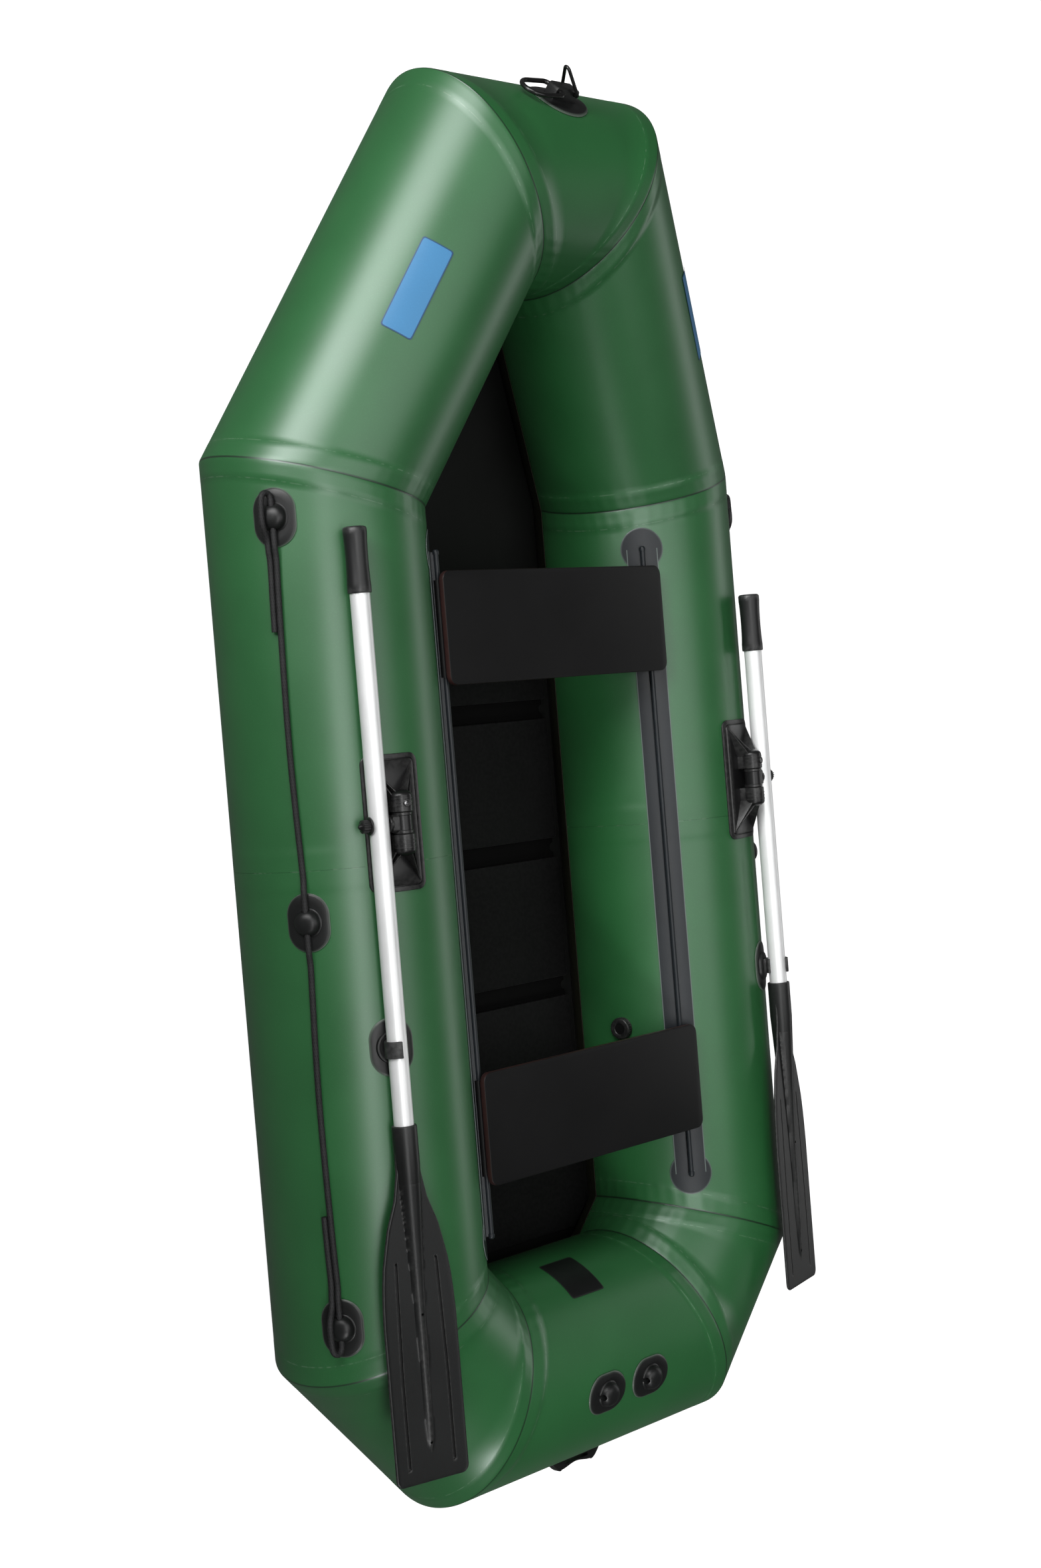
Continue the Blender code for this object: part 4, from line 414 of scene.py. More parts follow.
PLATE_DARK = RimFinish("plain_dark_patch", (0.006, 0.006, 0.0065), 0.40, rim_colour_and_painted_light=(0.03, 0.03, 0.03),
                       rim_share=0.5, tone=0.05, specular=0.3)


# Meshes


def axes(x: Triple, y: Triple, z: Triple, origin: Triple = (0.0, 0.0, 0.0)) -> Matrix:
    """Make a frame from its three axes and its origin."""
    return Matrix(((*x, 0.0), (*y, 0.0), (*z, 0.0), (*origin, 1.0))).transposed()


def side_frame(angle: float, ahead: float) -> Matrix:
    """Stand on the starboard tube's axis and look out of it.

    Args:
        angle: degrees outboard of upright.
        ahead: metres ahead of the mid seam.

    Returns:
        A frame with X round the tube outboard and down, Y to the bow and Z out of the tube.
    """
    turn = math.radians(angle)
    return axes((math.cos(turn), 0.0, -math.sin(turn)), (0.0, 1.0, 0.0), (math.sin(turn), 0.0, math.cos(turn)),
                (HULL_HALF, MID_SEAM_Y + ahead, TUBE_RADIUS))


def cross_frame(centre: Flat, angle: float, across: float) -> Matrix:
    """Stand on the axis of a tube that lies across the boat and look out of it.

    Args:
        centre: the axis's Y and Z.
        angle: degrees aft of upright.
        across: metres to starboard.

    Returns:
        A frame with X round the tube aft and down, Y to starboard and Z out of the tube.
    """
    turn = math.radians(angle)
    return axes((0.0, -math.cos(turn), -math.sin(turn)), (1.0, 0.0, 0.0), (0.0, -math.sin(turn), math.cos(turn)),
                (across, *centre))


def arc(centre: Flat, radius: float, start: float, end: float, steps: int) -> list[Flat]:
    """Points on an arc.

    Args:
        centre: the arc's centre.
        radius: its radius.
        start: the first angle, in degrees.
        end: the last angle, in degrees.
        steps: how many chords.

    Returns:
        The points.
    """
    turns = [math.radians(start + (end - start) * index / steps) for index in range(steps + 1)]
    return [(centre[0] + radius * math.cos(turn), centre[1] + radius * math.sin(turn)) for turn in turns]


def rounded_rectangle(width: float, length: float, corner: float, steps: int = 8) -> list[Flat]:
    """A centred rectangle with rounded corners.

    Args:
        width: the size along the first axis.
        length: the size along the second axis.
        corner: the corners' radius.
        steps: chords in each corner.

    Returns:
        The outline's points.
    """
    x = width / 2 - corner
    y = length / 2 - corner
    outline = arc((x, y), corner, 0, 90, steps) + arc((-x, y), corner, 90, 180, steps)
    return outline + arc((-x, -y), corner, 180, 270, steps) + arc((x, -y), corner, 270, 360, steps)


def oval(width: float, length: float, steps: int = 64) -> list[Flat]:
    """A centred ellipse.

    Args:
        width: the size along the first axis.
        length: the size along the second axis.
        steps: how many points.

    Returns:
        The outline's points.
    """
    turns = [2 * math.pi * index / steps for index in range(steps)]
    return [(width / 2 * math.cos(turn), length / 2 * math.sin(turn)) for turn in turns]


def even(outline: list[Flat], count: int) -> list[Flat]:
    """Space an outline's points by equal angles about the origin.

    Args:
        outline: a star-shaped outline round the origin.
        count: how many points to return.

    Returns:
        The new points.
    """
    polar = sorted((math.atan2(y, x) % (2 * math.pi), math.hypot(x, y)) for x, y in outline)
    polar = [(polar[-1][0] - 2 * math.pi, polar[-1][1])] + polar + [(polar[0][0] + 2 * math.pi, polar[0][1])]
    made = []
    for index in range(count):
        turn = 2 * math.pi * index / count
        for (low, near), (high, far) in zip(polar, polar[1:]):
            if low <= turn <= high and high - low > 1e-9:
                first = (near * math.cos(low), near * math.sin(low))
                last = (far * math.cos(high), far * math.sin(high))
                run = (last[0] - first[0], last[1] - first[1])
                ray = (math.cos(turn), math.sin(turn))
                cross = ray[0] * run[1] - ray[1] * run[0]
                reach = (first[0] * run[1] - first[1] * run[0]) / cross if abs(cross) > 1e-12 else near
                made.append((reach * ray[0], reach * ray[1]))
                break
    return made


class Shape:
    """A mesh in the making, with numbers stored on its points."""

    def __init__(self) -> None:
        """Start with nothing."""
        self.mesh = bmesh.new()
        self.layers: dict[str, bmesh.types.BMLayerItem] = {}

    def number(self, name: str) -> bmesh.types.BMLayerItem:
        """Give the layer that holds a number for each point.

        Args:
            name: what the number is called.

        Returns:
            The layer.
        """
        if name not in self.layers:
            self.layers[name] = self.mesh.verts.layers.float.new(name)
        return self.layers[name]

    def loft(self, rings: list[list[Vector]], capped: bool = True, ring: bool = False,
             marks: dict[str, list[list[float]]] | None = None) -> None:
        """Join rings of points that all have the same count.

        Args:
            rings: the rings, from the first to the last.
            capped: whether the first and last ring are closed by a face.
            ring: whether the last ring joins the first.
            marks: a number for each point of each ring, by name.
        """
        layers = {name: self.number(name) for name in (marks or {})}
        rows = [[self.mesh.verts.new(point) for point in points] for points in rings]
        for name, table in (marks or {}).items():
            for row, values in zip(rows, table):
                for vert, value in zip(row, values):
                    vert[layers[name]] = value
        count = len(rows[0])
        for first, second in list(zip(rows, rows[1:])) + ([(rows[-1], rows[0])] if ring else []):
            for index in range(count):
                after = (index + 1) % count
                self.mesh.faces.new((first[index], first[after], second[after], second[index]))
        if capped and not ring:
            self.mesh.faces.new(list(reversed(rows[0])))
            self.mesh.faces.new(rows[-1])

    def lathe(self, profile: list[Flat], place: Matrix, sides: int = 48, ring: bool = False) -> None:
        """Turn a profile of (radius, height) pairs round a frame's Z.

        Args:
            profile: the pairs, run down the outer side.
            place: the frame.
            sides: how many sides the turned shape has.
            ring: whether the profile closes on itself.
        """
        turns = [2 * math.pi * index / sides for index in range(sides)]
        rings = []
        for radius, height in profile:
            size = max(radius, 1e-6)
            rings.append([place @ Vector((size * math.cos(turn), size * math.sin(turn), height)) for turn in turns])
        self.loft(rings, capped=not ring, ring=ring)

    def prism(self, outline: list[Flat], low: float, high: float, place: Matrix, edge: float = 0.0,
              steps: int = 3) -> None:
        """Stand an outline between two heights along a frame's Z, its rims rounded.

        Args:
            outline: the outline in the frame's XY plane, anticlockwise.
            low: the lower height.
            high: the upper height.
            place: the frame.
            edge: the rims' rounding.
            steps: chords in each rounding.
        """
        shape = Shape()
        rings = [[Vector((x, y, height)) for x, y in outline] for height in (low, high)]
        shape.loft(rings)
        bmesh.ops.recalc_face_normals(shape.mesh, faces=shape.mesh.faces)
        if edge:
            rims = [item for item in shape.mesh.edges
                    if abs(item.verts[0].co.z - item.verts[1].co.z) < 1e-9]
            bmesh.ops.bevel(shape.mesh, geom=rims, offset=edge, segments=steps, affect="EDGES",
                            profile=0.5, clamp_overlap=True)
        self.take(shape, place)

    def tube(self, points: list[Vector], radius: float, sides: int = 12, ring: bool = False) -> None:
        """Sweep a circle along points.

        Args:
            points: the centre line.
            radius: the circle's radius.
            sides: the circle's sides.
            ring: whether the line closes on itself.
        """
        count = len(points)
        rings = []
        across = None
        for index, point in enumerate(points):
            before = points[index - 1] if index or ring else point
            after = points[(index + 1) % count] if index < count - 1 or ring else point
            run = (after - before).normalized()
            if across is None:
                across = run.orthogonal().normalized()
            across = (across - run * across.dot(run)).normalized()
            upward = run.cross(across)
            turns = [2 * math.pi * side / sides for side in range(sides)]
            rings.append([point + radius * (math.cos(turn) * across + math.sin(turn) * upward) for turn in turns])
        self.loft(rings, capped=not ring, ring=ring)

    def take(self, other: "Shape", place: Matrix = Matrix.Identity(4)) -> None:
        """Move another shape's faces in here at a frame.

        Args:
            other: the other shape, which is used up.
            place: the frame.
        """
        bmesh.ops.transform(other.mesh, matrix=place, verts=other.mesh.verts)
        held = bpy.data.meshes.new("held")
        other.mesh.to_mesh(held)
        other.mesh.free()
        self.mesh.from_mesh(held)
        bpy.data.meshes.remove(held)
        self.layers = {name: self.mesh.verts.layers.float.get(name) for name in self.mesh.verts.layers.float.keys()}

    def take_mesh(self, mesh: bpy.types.Mesh, place: Matrix = Matrix.Identity(4)) -> None:
        """Copy a plain mesh in here at a frame.

        Args:
            mesh: the mesh, which stays.
            place: the frame.
        """
        held = Shape()
        held.mesh.from_mesh(mesh)
        self.take(held, place)

    def done(self, name: str) -> bpy.types.Mesh:
        """Turn every closed shell outward and hand over the mesh.

        Args:
            name: the mesh's name.

        Returns:
            The mesh, with how sharp each point's corner is stored as edge.
        """
        bmesh.ops.remove_doubles(self.mesh, verts=self.mesh.verts, dist=0.000002)
        bmesh.ops.recalc_face_normals(self.mesh, faces=self.mesh.faces)
        edge = self.number("edge")
        for vert in self.mesh.verts:
            bends = [item.calc_face_angle_signed(0.0) for item in vert.link_edges if len(item.link_faces) == 2]
            vert[edge] = min(1.0, max(0.0, max(bends, default=0.0)) / math.radians(32))
        made = bpy.data.meshes.new(name)
        self.mesh.to_mesh(made)
        self.mesh.free()
        return made


@dataclass
class Carrier:
    """What a piece rides on, the frame's nodes that it stands for, and its side."""

    body: str = "hull"
    replaces: tuple[str, ...] = ()
    slot: str | None = None
    side: Side = Side.STARBOARD
    sharp: float = 38.0


def add_object(name: str, data: bpy.types.ID) -> bpy.types.Object:
    """Put a new object in the scene.

    Args:
        name: its name.
        data: its mesh, curve, light or camera.

    Returns:
        The object.
    """
    made = bpy.data.objects.new(name, data)
    bpy.context.scene.collection.objects.link(made)
    return made


def publish(name: str, mesh: bpy.types.Mesh, finishes: list[Finish], carrier: Carrier) -> None:
    """Put a finished mesh in the scene and fix it to its body.

    Args:
        name: the piece's name.
        mesh: its mesh, in the frame's own place, on the starboard side.
        finishes: one finish for each material number of its faces.
        carrier: what it rides on and stands for.
    """
    if carrier.side is Side.PORT:
        mesh.transform(FLIP_X)
        mesh.flip_normals()
    piece = add_object(name, mesh)
    numbers = [min(face.material_index, len(finishes) - 1) for face in mesh.polygons]
    mesh.materials.clear()
    for finish in finishes:
        mesh.materials.append(finish.make())
    mesh.polygons.foreach_set("material_index", numbers)
    mesh.shade_smooth()
    mesh.set_sharp_from_angle(angle=math.radians(carrier.sharp))
    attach(piece, carrier.body)
    if carrier.replaces:
        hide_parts(*carrier.replaces)
    LOG.info("%s: %d faces on %s", name, len(mesh.polygons), carrier.body)


def cut(mesh: bpy.types.Mesh, cutter: Shape) -> bpy.types.Mesh:
    """Cut a shape out of a mesh.

    Args:
        mesh: the mesh to cut.
        cutter: the shape to take away, which is used up.

    Returns:
        The cut mesh.
    """
    target = add_object("target", mesh)
    tool = add_object("tool", cutter.done("tool"))
    modifier = target.modifiers.new("cut", "BOOLEAN")
    modifier.operation = "DIFFERENCE"
    modifier.solver = "EXACT"
    modifier.object = tool
    made = settled(target)
    bpy.data.objects.remove(tool, do_unlink=True)
    return made


def settled(source: bpy.types.Object) -> bpy.types.Mesh:
    """Take an object's mesh with its modifiers applied, and remove the object.

    Args:
        source: the object.

    Returns:
        The plain mesh, in the object's own space.
    """
    bpy.context.view_layer.update()
    graph = bpy.context.evaluated_depsgraph_get()
    made = bpy.data.meshes.new_from_object(source.evaluated_get(graph), preserve_all_data_layers=True,
                                           depsgraph=graph)
    bpy.data.objects.remove(source, do_unlink=True)
    return made


@dataclass
class GluedPad:
    """A moulded or cut pad, bent to the round of the tube that it is glued on."""

    place: Matrix
    radius: float = TUBE_RADIUS
    points: int = 96

    def over(self, x: float, y: float, height: float) -> Vector:
        """Give the place of a point laid on the tube.

        Args:
            x: metres round the tube, as the crow flies in the pad's plane.
            y: metres along the tube.
            height: metres over the tube's surface.

        Returns:
            The point in the frame.
        """
        reach = self.radius + height
        turn = math.asin(max(-0.999, min(0.999, x / reach)))
        return self.place @ Vector((reach * math.sin(turn), y, reach * math.cos(turn)))

    def layers(self, shape: Shape, steps: list[tuple[list[Flat], float, float]]) -> None:
        """Build a closed pad from outlines at rising heights.

        Args:
            shape: the shape to add it to.
            steps: outline, height over the glue and rim number of each layer, from the underside's edge up.
        """
        base = even(steps[0][0], self.points)
        last = even(steps[-1][0], self.points)
        rings = [[self.over(x * share, y * share, CLEARANCE) for x, y in base] for share in (0.05, 0.5, 0.92)]
        marks = [0.0, 0.0, 0.0]
        for outline, height, mark in steps:
            rings.append([self.over(x, y, CLEARANCE + height) for x, y in even(outline, self.points)])
            marks.append(mark)
        for share in (0.75, 0.5, 0.25, 0.05):
            rings.append([self.over(x * share, y * share, CLEARANCE + steps[-1][1]) for x, y in last])
            marks.append(steps[-1][2])
        shape.loft(rings, marks={"rim": [[mark] * self.points for mark in marks]})


def shrink(outline: list[Flat], by: float) -> list[Flat]:
    """Draw an outline inward.

    Args:
        outline: the outline.
        by: how far its sides move in.

    Returns:
        The smaller outline.
    """
    wide = max(abs(x) for x, _ in outline)
    long = max(abs(y) for _, y in outline)
    return [(x * (1 - by / wide), y * (1 - by / long)) for x, y in outline]


# Hull


def reflect(vector: Vector, normal: Vector) -> Vector:
    """Mirror a direction in a mitre plane."""
    return vector - 2 * vector.dot(normal) * normal


def slide_to_plane(offset: Vector, run: Vector, normal: Vector) -> Vector:
    """Move an offset from a tube's axis along the tube into the mitre plane."""
    return offset - (offset.dot(normal) / run.dot(normal)) * run


@dataclass
class TubeLoop:
    """Half of the hull's loop of straight tube runs, from the mid seam outward."""

    towards_bow: bool
    shoulder_ahead: float = 0.580
    bow_half: float = 0.122
    stern_corner_abaft: float = 0.709
    transom_half: float = 0.234

    def corners(self) -> list[tuple[Vector, float]]:
        """List the starboard corners on the axis, with the tube's radius there.

        Returns:
            The corners, from the mid seam outward.
        """
        start = (Vector((HULL_HALF, MID_SEAM_Y, TUBE_RADIUS)), TUBE_RADIUS)
        if self.towards_bow:
            return [
                start,
                (Vector((HULL_HALF, MID_SEAM_Y + self.shoulder_ahead, TUBE_RADIUS)), TUBE_RADIUS),
                (Vector((self.bow_half, *BOW_CENTRE)), BOW_RADIUS),
                (Vector((-self.bow_half, *BOW_CENTRE)), BOW_RADIUS),
            ]
        return [
            start,
            (Vector((HULL_HALF, MID_SEAM_Y - self.stern_corner_abaft, TUBE_RADIUS)), TUBE_RADIUS),
            (Vector((self.transom_half, *STERN_CENTRE)), TUBE_RADIUS),
            (Vector((-self.transom_half, *STERN_CENTRE)), TUBE_RADIUS),
        ]

    def sections(self, angles: list[float], proud: float = 0.0) -> list[list[Vector]]:
        """Cut the starboard tube at its corners, each section in its mitre plane.

        Args:
            angles: degrees from outboard, rising over the top of the tube.
            proud: how far outside the tube's surface the points lie.

        Returns:
            The sections, from the mid seam outward.
        """
        corners = self.corners()
        offsets = [Vector((math.cos(math.radians(turn)), 0.0, math.sin(math.radians(turn)))) for turn in angles]
        made = [[corners[0][0] + (corners[0][1] + proud) * offset for offset in offsets]]
        for (before, _), (corner, radius), (after, _) in zip(corners, corners[1:], corners[2:]):
            arriving = (corner - before).normalized()
            mitre = (arriving + (after - corner).normalized()).normalized()
            slid = [slide_to_plane(offset, arriving, mitre) for offset in offsets]
            made.append([corner + (radius + proud) * offset for offset in slid])
            offsets = [reflect(offset, mitre) for offset in offsets]
        return made


def to_port(sections: list[list[Vector]]) -> list[list[Vector]]:
    """Mirror sections to the port side, in the order in which a loop meets them."""
    return [[Vector((-point.x, point.y, point.z)) for point in section] for section in reversed(sections)]


@dataclass
class AirChamber:
    """One of the hull's two air chambers: runs of coated fabric tube, taped at the mitres."""

    name: str
    loop: TubeLoop
    valve: Matrix
    sides: int = 192
    spacing: float = 0.030
    pucker: float = 0.0008
    tape_wall: float = 0.0002
    groove: float = 0.0005
    valve_hole: float = 0.0123

    def close_rings(self, room: float) -> list[float]:
        """List the ring distances next to a seam that fit in half a run.

        Args:
            room: the run's shortest length.

        Returns:
            The distances, rising from 0.
        """
        edge = self.tape_wall
        steps = [0.0, 0.0008, 0.0025, 0.008, 0.014, 0.020, SEAM_TAPE - edge, SEAM_TAPE + edge, 0.040, 0.055, 0.080]
        return [step for step in steps if step <= max(room / 2, SEAM_TAPE + edge)]

    def dent(self, reach: float, pinch: float, around: float, point: Vector, mitred: bool) -> float:
        """Say how far the fabric lies inside the plain tube at a point.

        Args:
            reach: metres from the nearest seam.
            pinch: 0 on the outside of the corner to 1 on its tightest inside.
            around: metres round the tube.
            point: the point itself, for the slow waves.
            mitred: whether the nearest seam is a mitre and not the plain mid seam.

        Returns:
            The depth in metres, never below 0.
        """
        depth = 0.00035 * (0.5 + 0.5 * noise.noise(point * 6.0))
        depth += self.tape_wall * (1.0 if mitred else 0.3) if reach > SEAM_TAPE else 0.0
        if mitred:
            depth += self.groove * math.exp(-((reach / 0.0012) ** 2))
            wave = math.sin(2 * math.pi * around / 0.023 + 5.0 * noise.noise(point * 9.0))
            fade = math.exp(-(((reach - 0.014) / 0.024) ** 2)) * min(1.0, reach / 0.006)
            depth += self.pucker * pinch * fade * (0.5 + 0.5 * wave)
        return depth

    def run_rings(self, first: list[Vector], last: list[Vector], start: Vector, end: Vector,
                  mitred: tuple[bool, bool]) -> list[tuple[list[Vector], list[float]]]:
        """Ring one straight run of tube.

        Args:
            first: the section that it starts at.
            last: the section that it ends at.
            start: the axis's point at the first section.
            end: the axis's point at the last section.
            mitred: whether each end is a mitre.

        Returns:
            Rings of points, with a mark for each point that says how near a seam is.
        """
        along = (end - start).normalized()
        lengths = [(b - a).length for a, b in zip(first, last)]
        close = self.close_rings(min(lengths))
        outer = close[-1]
        middle = max(1, round((sum(lengths) / len(lengths) - 2 * outer) / self.spacing))
        plan = [(0, reach) for reach in close] + [(1, step / middle) for step in range(1, middle)]
        plan += [(2, reach) for reach in reversed(close)]
        rings = []
        for part, value in plan:
            ring = []
            marks = []
            for index, (a, b) in enumerate(zip(first, last)):
                length = lengths[index]
                run = (b - a) / length
                squeeze = min(1.0, 0.48 * length / outer)
                if part == 1:
                    travel = outer * squeeze + value * (length - 2 * outer * squeeze)
                    reach = outer + min(value, 1 - value) * (length - 2 * outer * squeeze)
                else:
                    travel = value * squeeze if part == 0 else length - value * squeeze
                    reach = value
                near_start = travel < length / 2
                point = a + run * travel
                radial = point - start - (point - start).dot(along) * along
                lag = (a - start).dot(along) if near_start else (end - b).dot(along)
                pinch = max(0.0, min(1.0, lag / 0.055))
                seam_is_mitre = mitred[0] if near_start else mitred[1]
                around = 2 * math.pi * TUBE_RADIUS * index / self.sides
                ring.append(point - radial.normalized() * self.dent(reach, pinch, around, point, seam_is_mitre))
                shift = 0.0 if seam_is_mitre else SEAM_TAPE
                marks.append(max(0.0, SEAM_REACH - reach - shift))
            rings.append((ring, marks))
        return rings

    def build(self) -> None:
        """Build the chamber's skin and cut the valve's hole in it."""
        angles = [360.0 * index / self.sides for index in range(self.sides)]
        starboard = self.loop.sections(angles)
        shift = CLEARANCE / 2 if self.loop.towards_bow else -CLEARANCE / 2
        for point in starboard[0]:
            point.y += shift
        sections = starboard + to_port(starboard)
        axis = [corner for corner, _ in self.loop.corners()[:-1]]
        axis += [Vector((-corner.x, corner.y, corner.z)) for corner in reversed(axis)]
        rings = []
        legs = len(sections) - 1
        for leg in range(legs):
            made = self.run_rings(sections[leg], sections[leg + 1], axis[leg], axis[leg + 1],
                                  (leg > 0, leg < legs - 1))
            rings += made if leg == 0 else made[1:]
        shape = Shape()
        shape.loft([ring for ring, _ in rings], marks={"near": [marks for _, marks in rings]})
        hole = Shape()
        depth = 0.012
        hole.lathe([(0.0, TUBE_RADIUS + depth), (self.valve_hole, TUBE_RADIUS + depth),
                    (self.valve_hole, TUBE_RADIUS - 3 * depth), (0.0, TUBE_RADIUS - 3 * depth)], self.valve)
        mesh = cut(shape.done(self.name + "_skin"), hole)
        publish(self.name + "_skin", mesh, [HULL_GREEN],
                Carrier("hull", (self.name,), "green_hull_fabric", sharp=60.0))


@dataclass
class Bottom:
    """The bottom fabric, with the flange that is glued to the tubes all round the well."""

    height: float = 0.0510
    wall: float = 0.001
    flange_top: float = 0.100
    steps: int = 10

    def build(self) -> None:
        """Build the sheet, its flange marked for its own colour."""
        low = math.degrees(math.asin((TUBE_RADIUS - self.height) / (TUBE_RADIUS + CLEARANCE)))
        high = math.degrees(math.asin((TUBE_RADIUS - self.flange_top) / TUBE_RADIUS))
        shares = [0.0, 0.03] + [step / self.steps for step in range(1, self.steps + 1)]
        angles = [180.0 + low + (high - low) * share for share in shares]
        bow = TubeLoop(True).sections(angles, CLEARANCE)[1:]
        stern = TubeLoop(False).sections(angles, CLEARANCE)[1:]
        starboard = list(reversed(bow)) + stern
        sections = starboard + to_port(starboard)
        sheet = bmesh.new()
        rim = sheet.verts.layers.float.new("rim")
        rings = [[sheet.verts.new(point) for point in section] for section in sections]
        for ring in rings:
            for vert in ring[1:]:
                vert[rim] = 1.0
        for first, second in zip(rings, rings[1:] + rings[:1]):
            for index in range(len(shares) - 1):
                sheet.faces.new((first[index], second[index], second[index + 1], first[index + 1]))
        feet = [ring[0] for ring in rings]
        sheet.faces.new(list(reversed([feet[0], feet[1], feet[-2], feet[-1]])))
        sheet.faces.new(list(reversed(feet[1:-1])))
        bmesh.ops.recalc_face_normals(sheet, faces=sheet.faces)
        if sum(face.normal.z * face.calc_area() for face in sheet.faces) < 0:
            bmesh.ops.reverse_faces(sheet, faces=sheet.faces)
        mesh = bpy.data.meshes.new("bottom")
        sheet.to_mesh(mesh)
        sheet.free()
        holder = add_object("bottom", mesh)
        skin = holder.modifiers.new("fabric", "SOLIDIFY")
        skin.thickness = self.wall
        skin.offset = 1.0
        skin.use_even_offset = True
        publish("bottom_fabric", settled(holder), [BOTTOM_OLIVE],
                Carrier("hull", ("bottom_sheet",), "olive_bottom_fabric"))


@dataclass
class Floor:
    """The slatted floor: stiff boards on a flat fabric cover, with gaps between the boards."""

    half: float = 0.227
    end_abaft: float = 0.700
    board_length: float = 0.209
    stern_length: float = 0.162
    gap: float = 0.034
    count: int = 5
    chamfer: float = 0.034
    notch: float = 0.008
    corner: float = 0.006
    board_wall: float = 0.010
    base: float = 0.0523

    def spans(self) -> list[Flat]:
        """List each board's aft and forward ends, ahead of the mid seam.

        Returns:
            The ends, from aft forward.
        """
        made = []
        aft = -self.end_abaft
        for index in range(self.count):
            length = self.stern_length if index == 0 else self.board_length
            made.append((aft, aft + length))
            aft += length + self.gap
        return made

    def build(self) -> None:
        """Build the cover and the boards."""
        spans = self.spans()
        edge = [(self.half - self.chamfer, MID_SEAM_Y + spans[0][0]),
                (self.half, MID_SEAM_Y + spans[0][0] + self.chamfer)]
        for (_, end), (start, _) in zip(spans, spans[1:]):
            edge += arc((self.half, MID_SEAM_Y + (end + start) / 2), self.notch, 270, 90, 12)
        edge.append((self.half, MID_SEAM_Y + spans[-1][1]))
        cover = Shape()
        wall = 0.001
        cover.prism(edge + [(-x, y) for x, y in reversed(edge)], self.base, self.base + wall,
                    Matrix.Identity(4), edge=0.0003, steps=2)
        publish("floor_cover_fabric", cover.done("floor_cover"), [FLOOR_FABRIC],
                Carrier("hull", ("floor_cover",), "black_floor_fabric"))
        low = self.base + wall + CLEARANCE
        for index, (start, end) in enumerate(spans):
            outline = rounded_rectangle(2 * self.half, end - start, self.corner)
            if index == 0:
                half = (end - start) / 2
                outline = [(x, y) for x, y in outline if y > 0] + [
                    (-self.half, self.chamfer - half), (self.chamfer - self.half, -half),
                    (self.half - self.chamfer, -half), (self.half, self.chamfer - half)]
            board = Shape()
            board.prism(outline, low, low + self.board_wall,
                        Matrix.Translation((0.0, MID_SEAM_Y + (start + end) / 2, 0.0)), edge=0.0016, steps=3)
            name = "floor_panel_" + str(index + 1)
            publish(name + "_board", board.done(name), [FLOOR_BOARD],
                    Carrier("hull", (name,), "black_floor_board"))


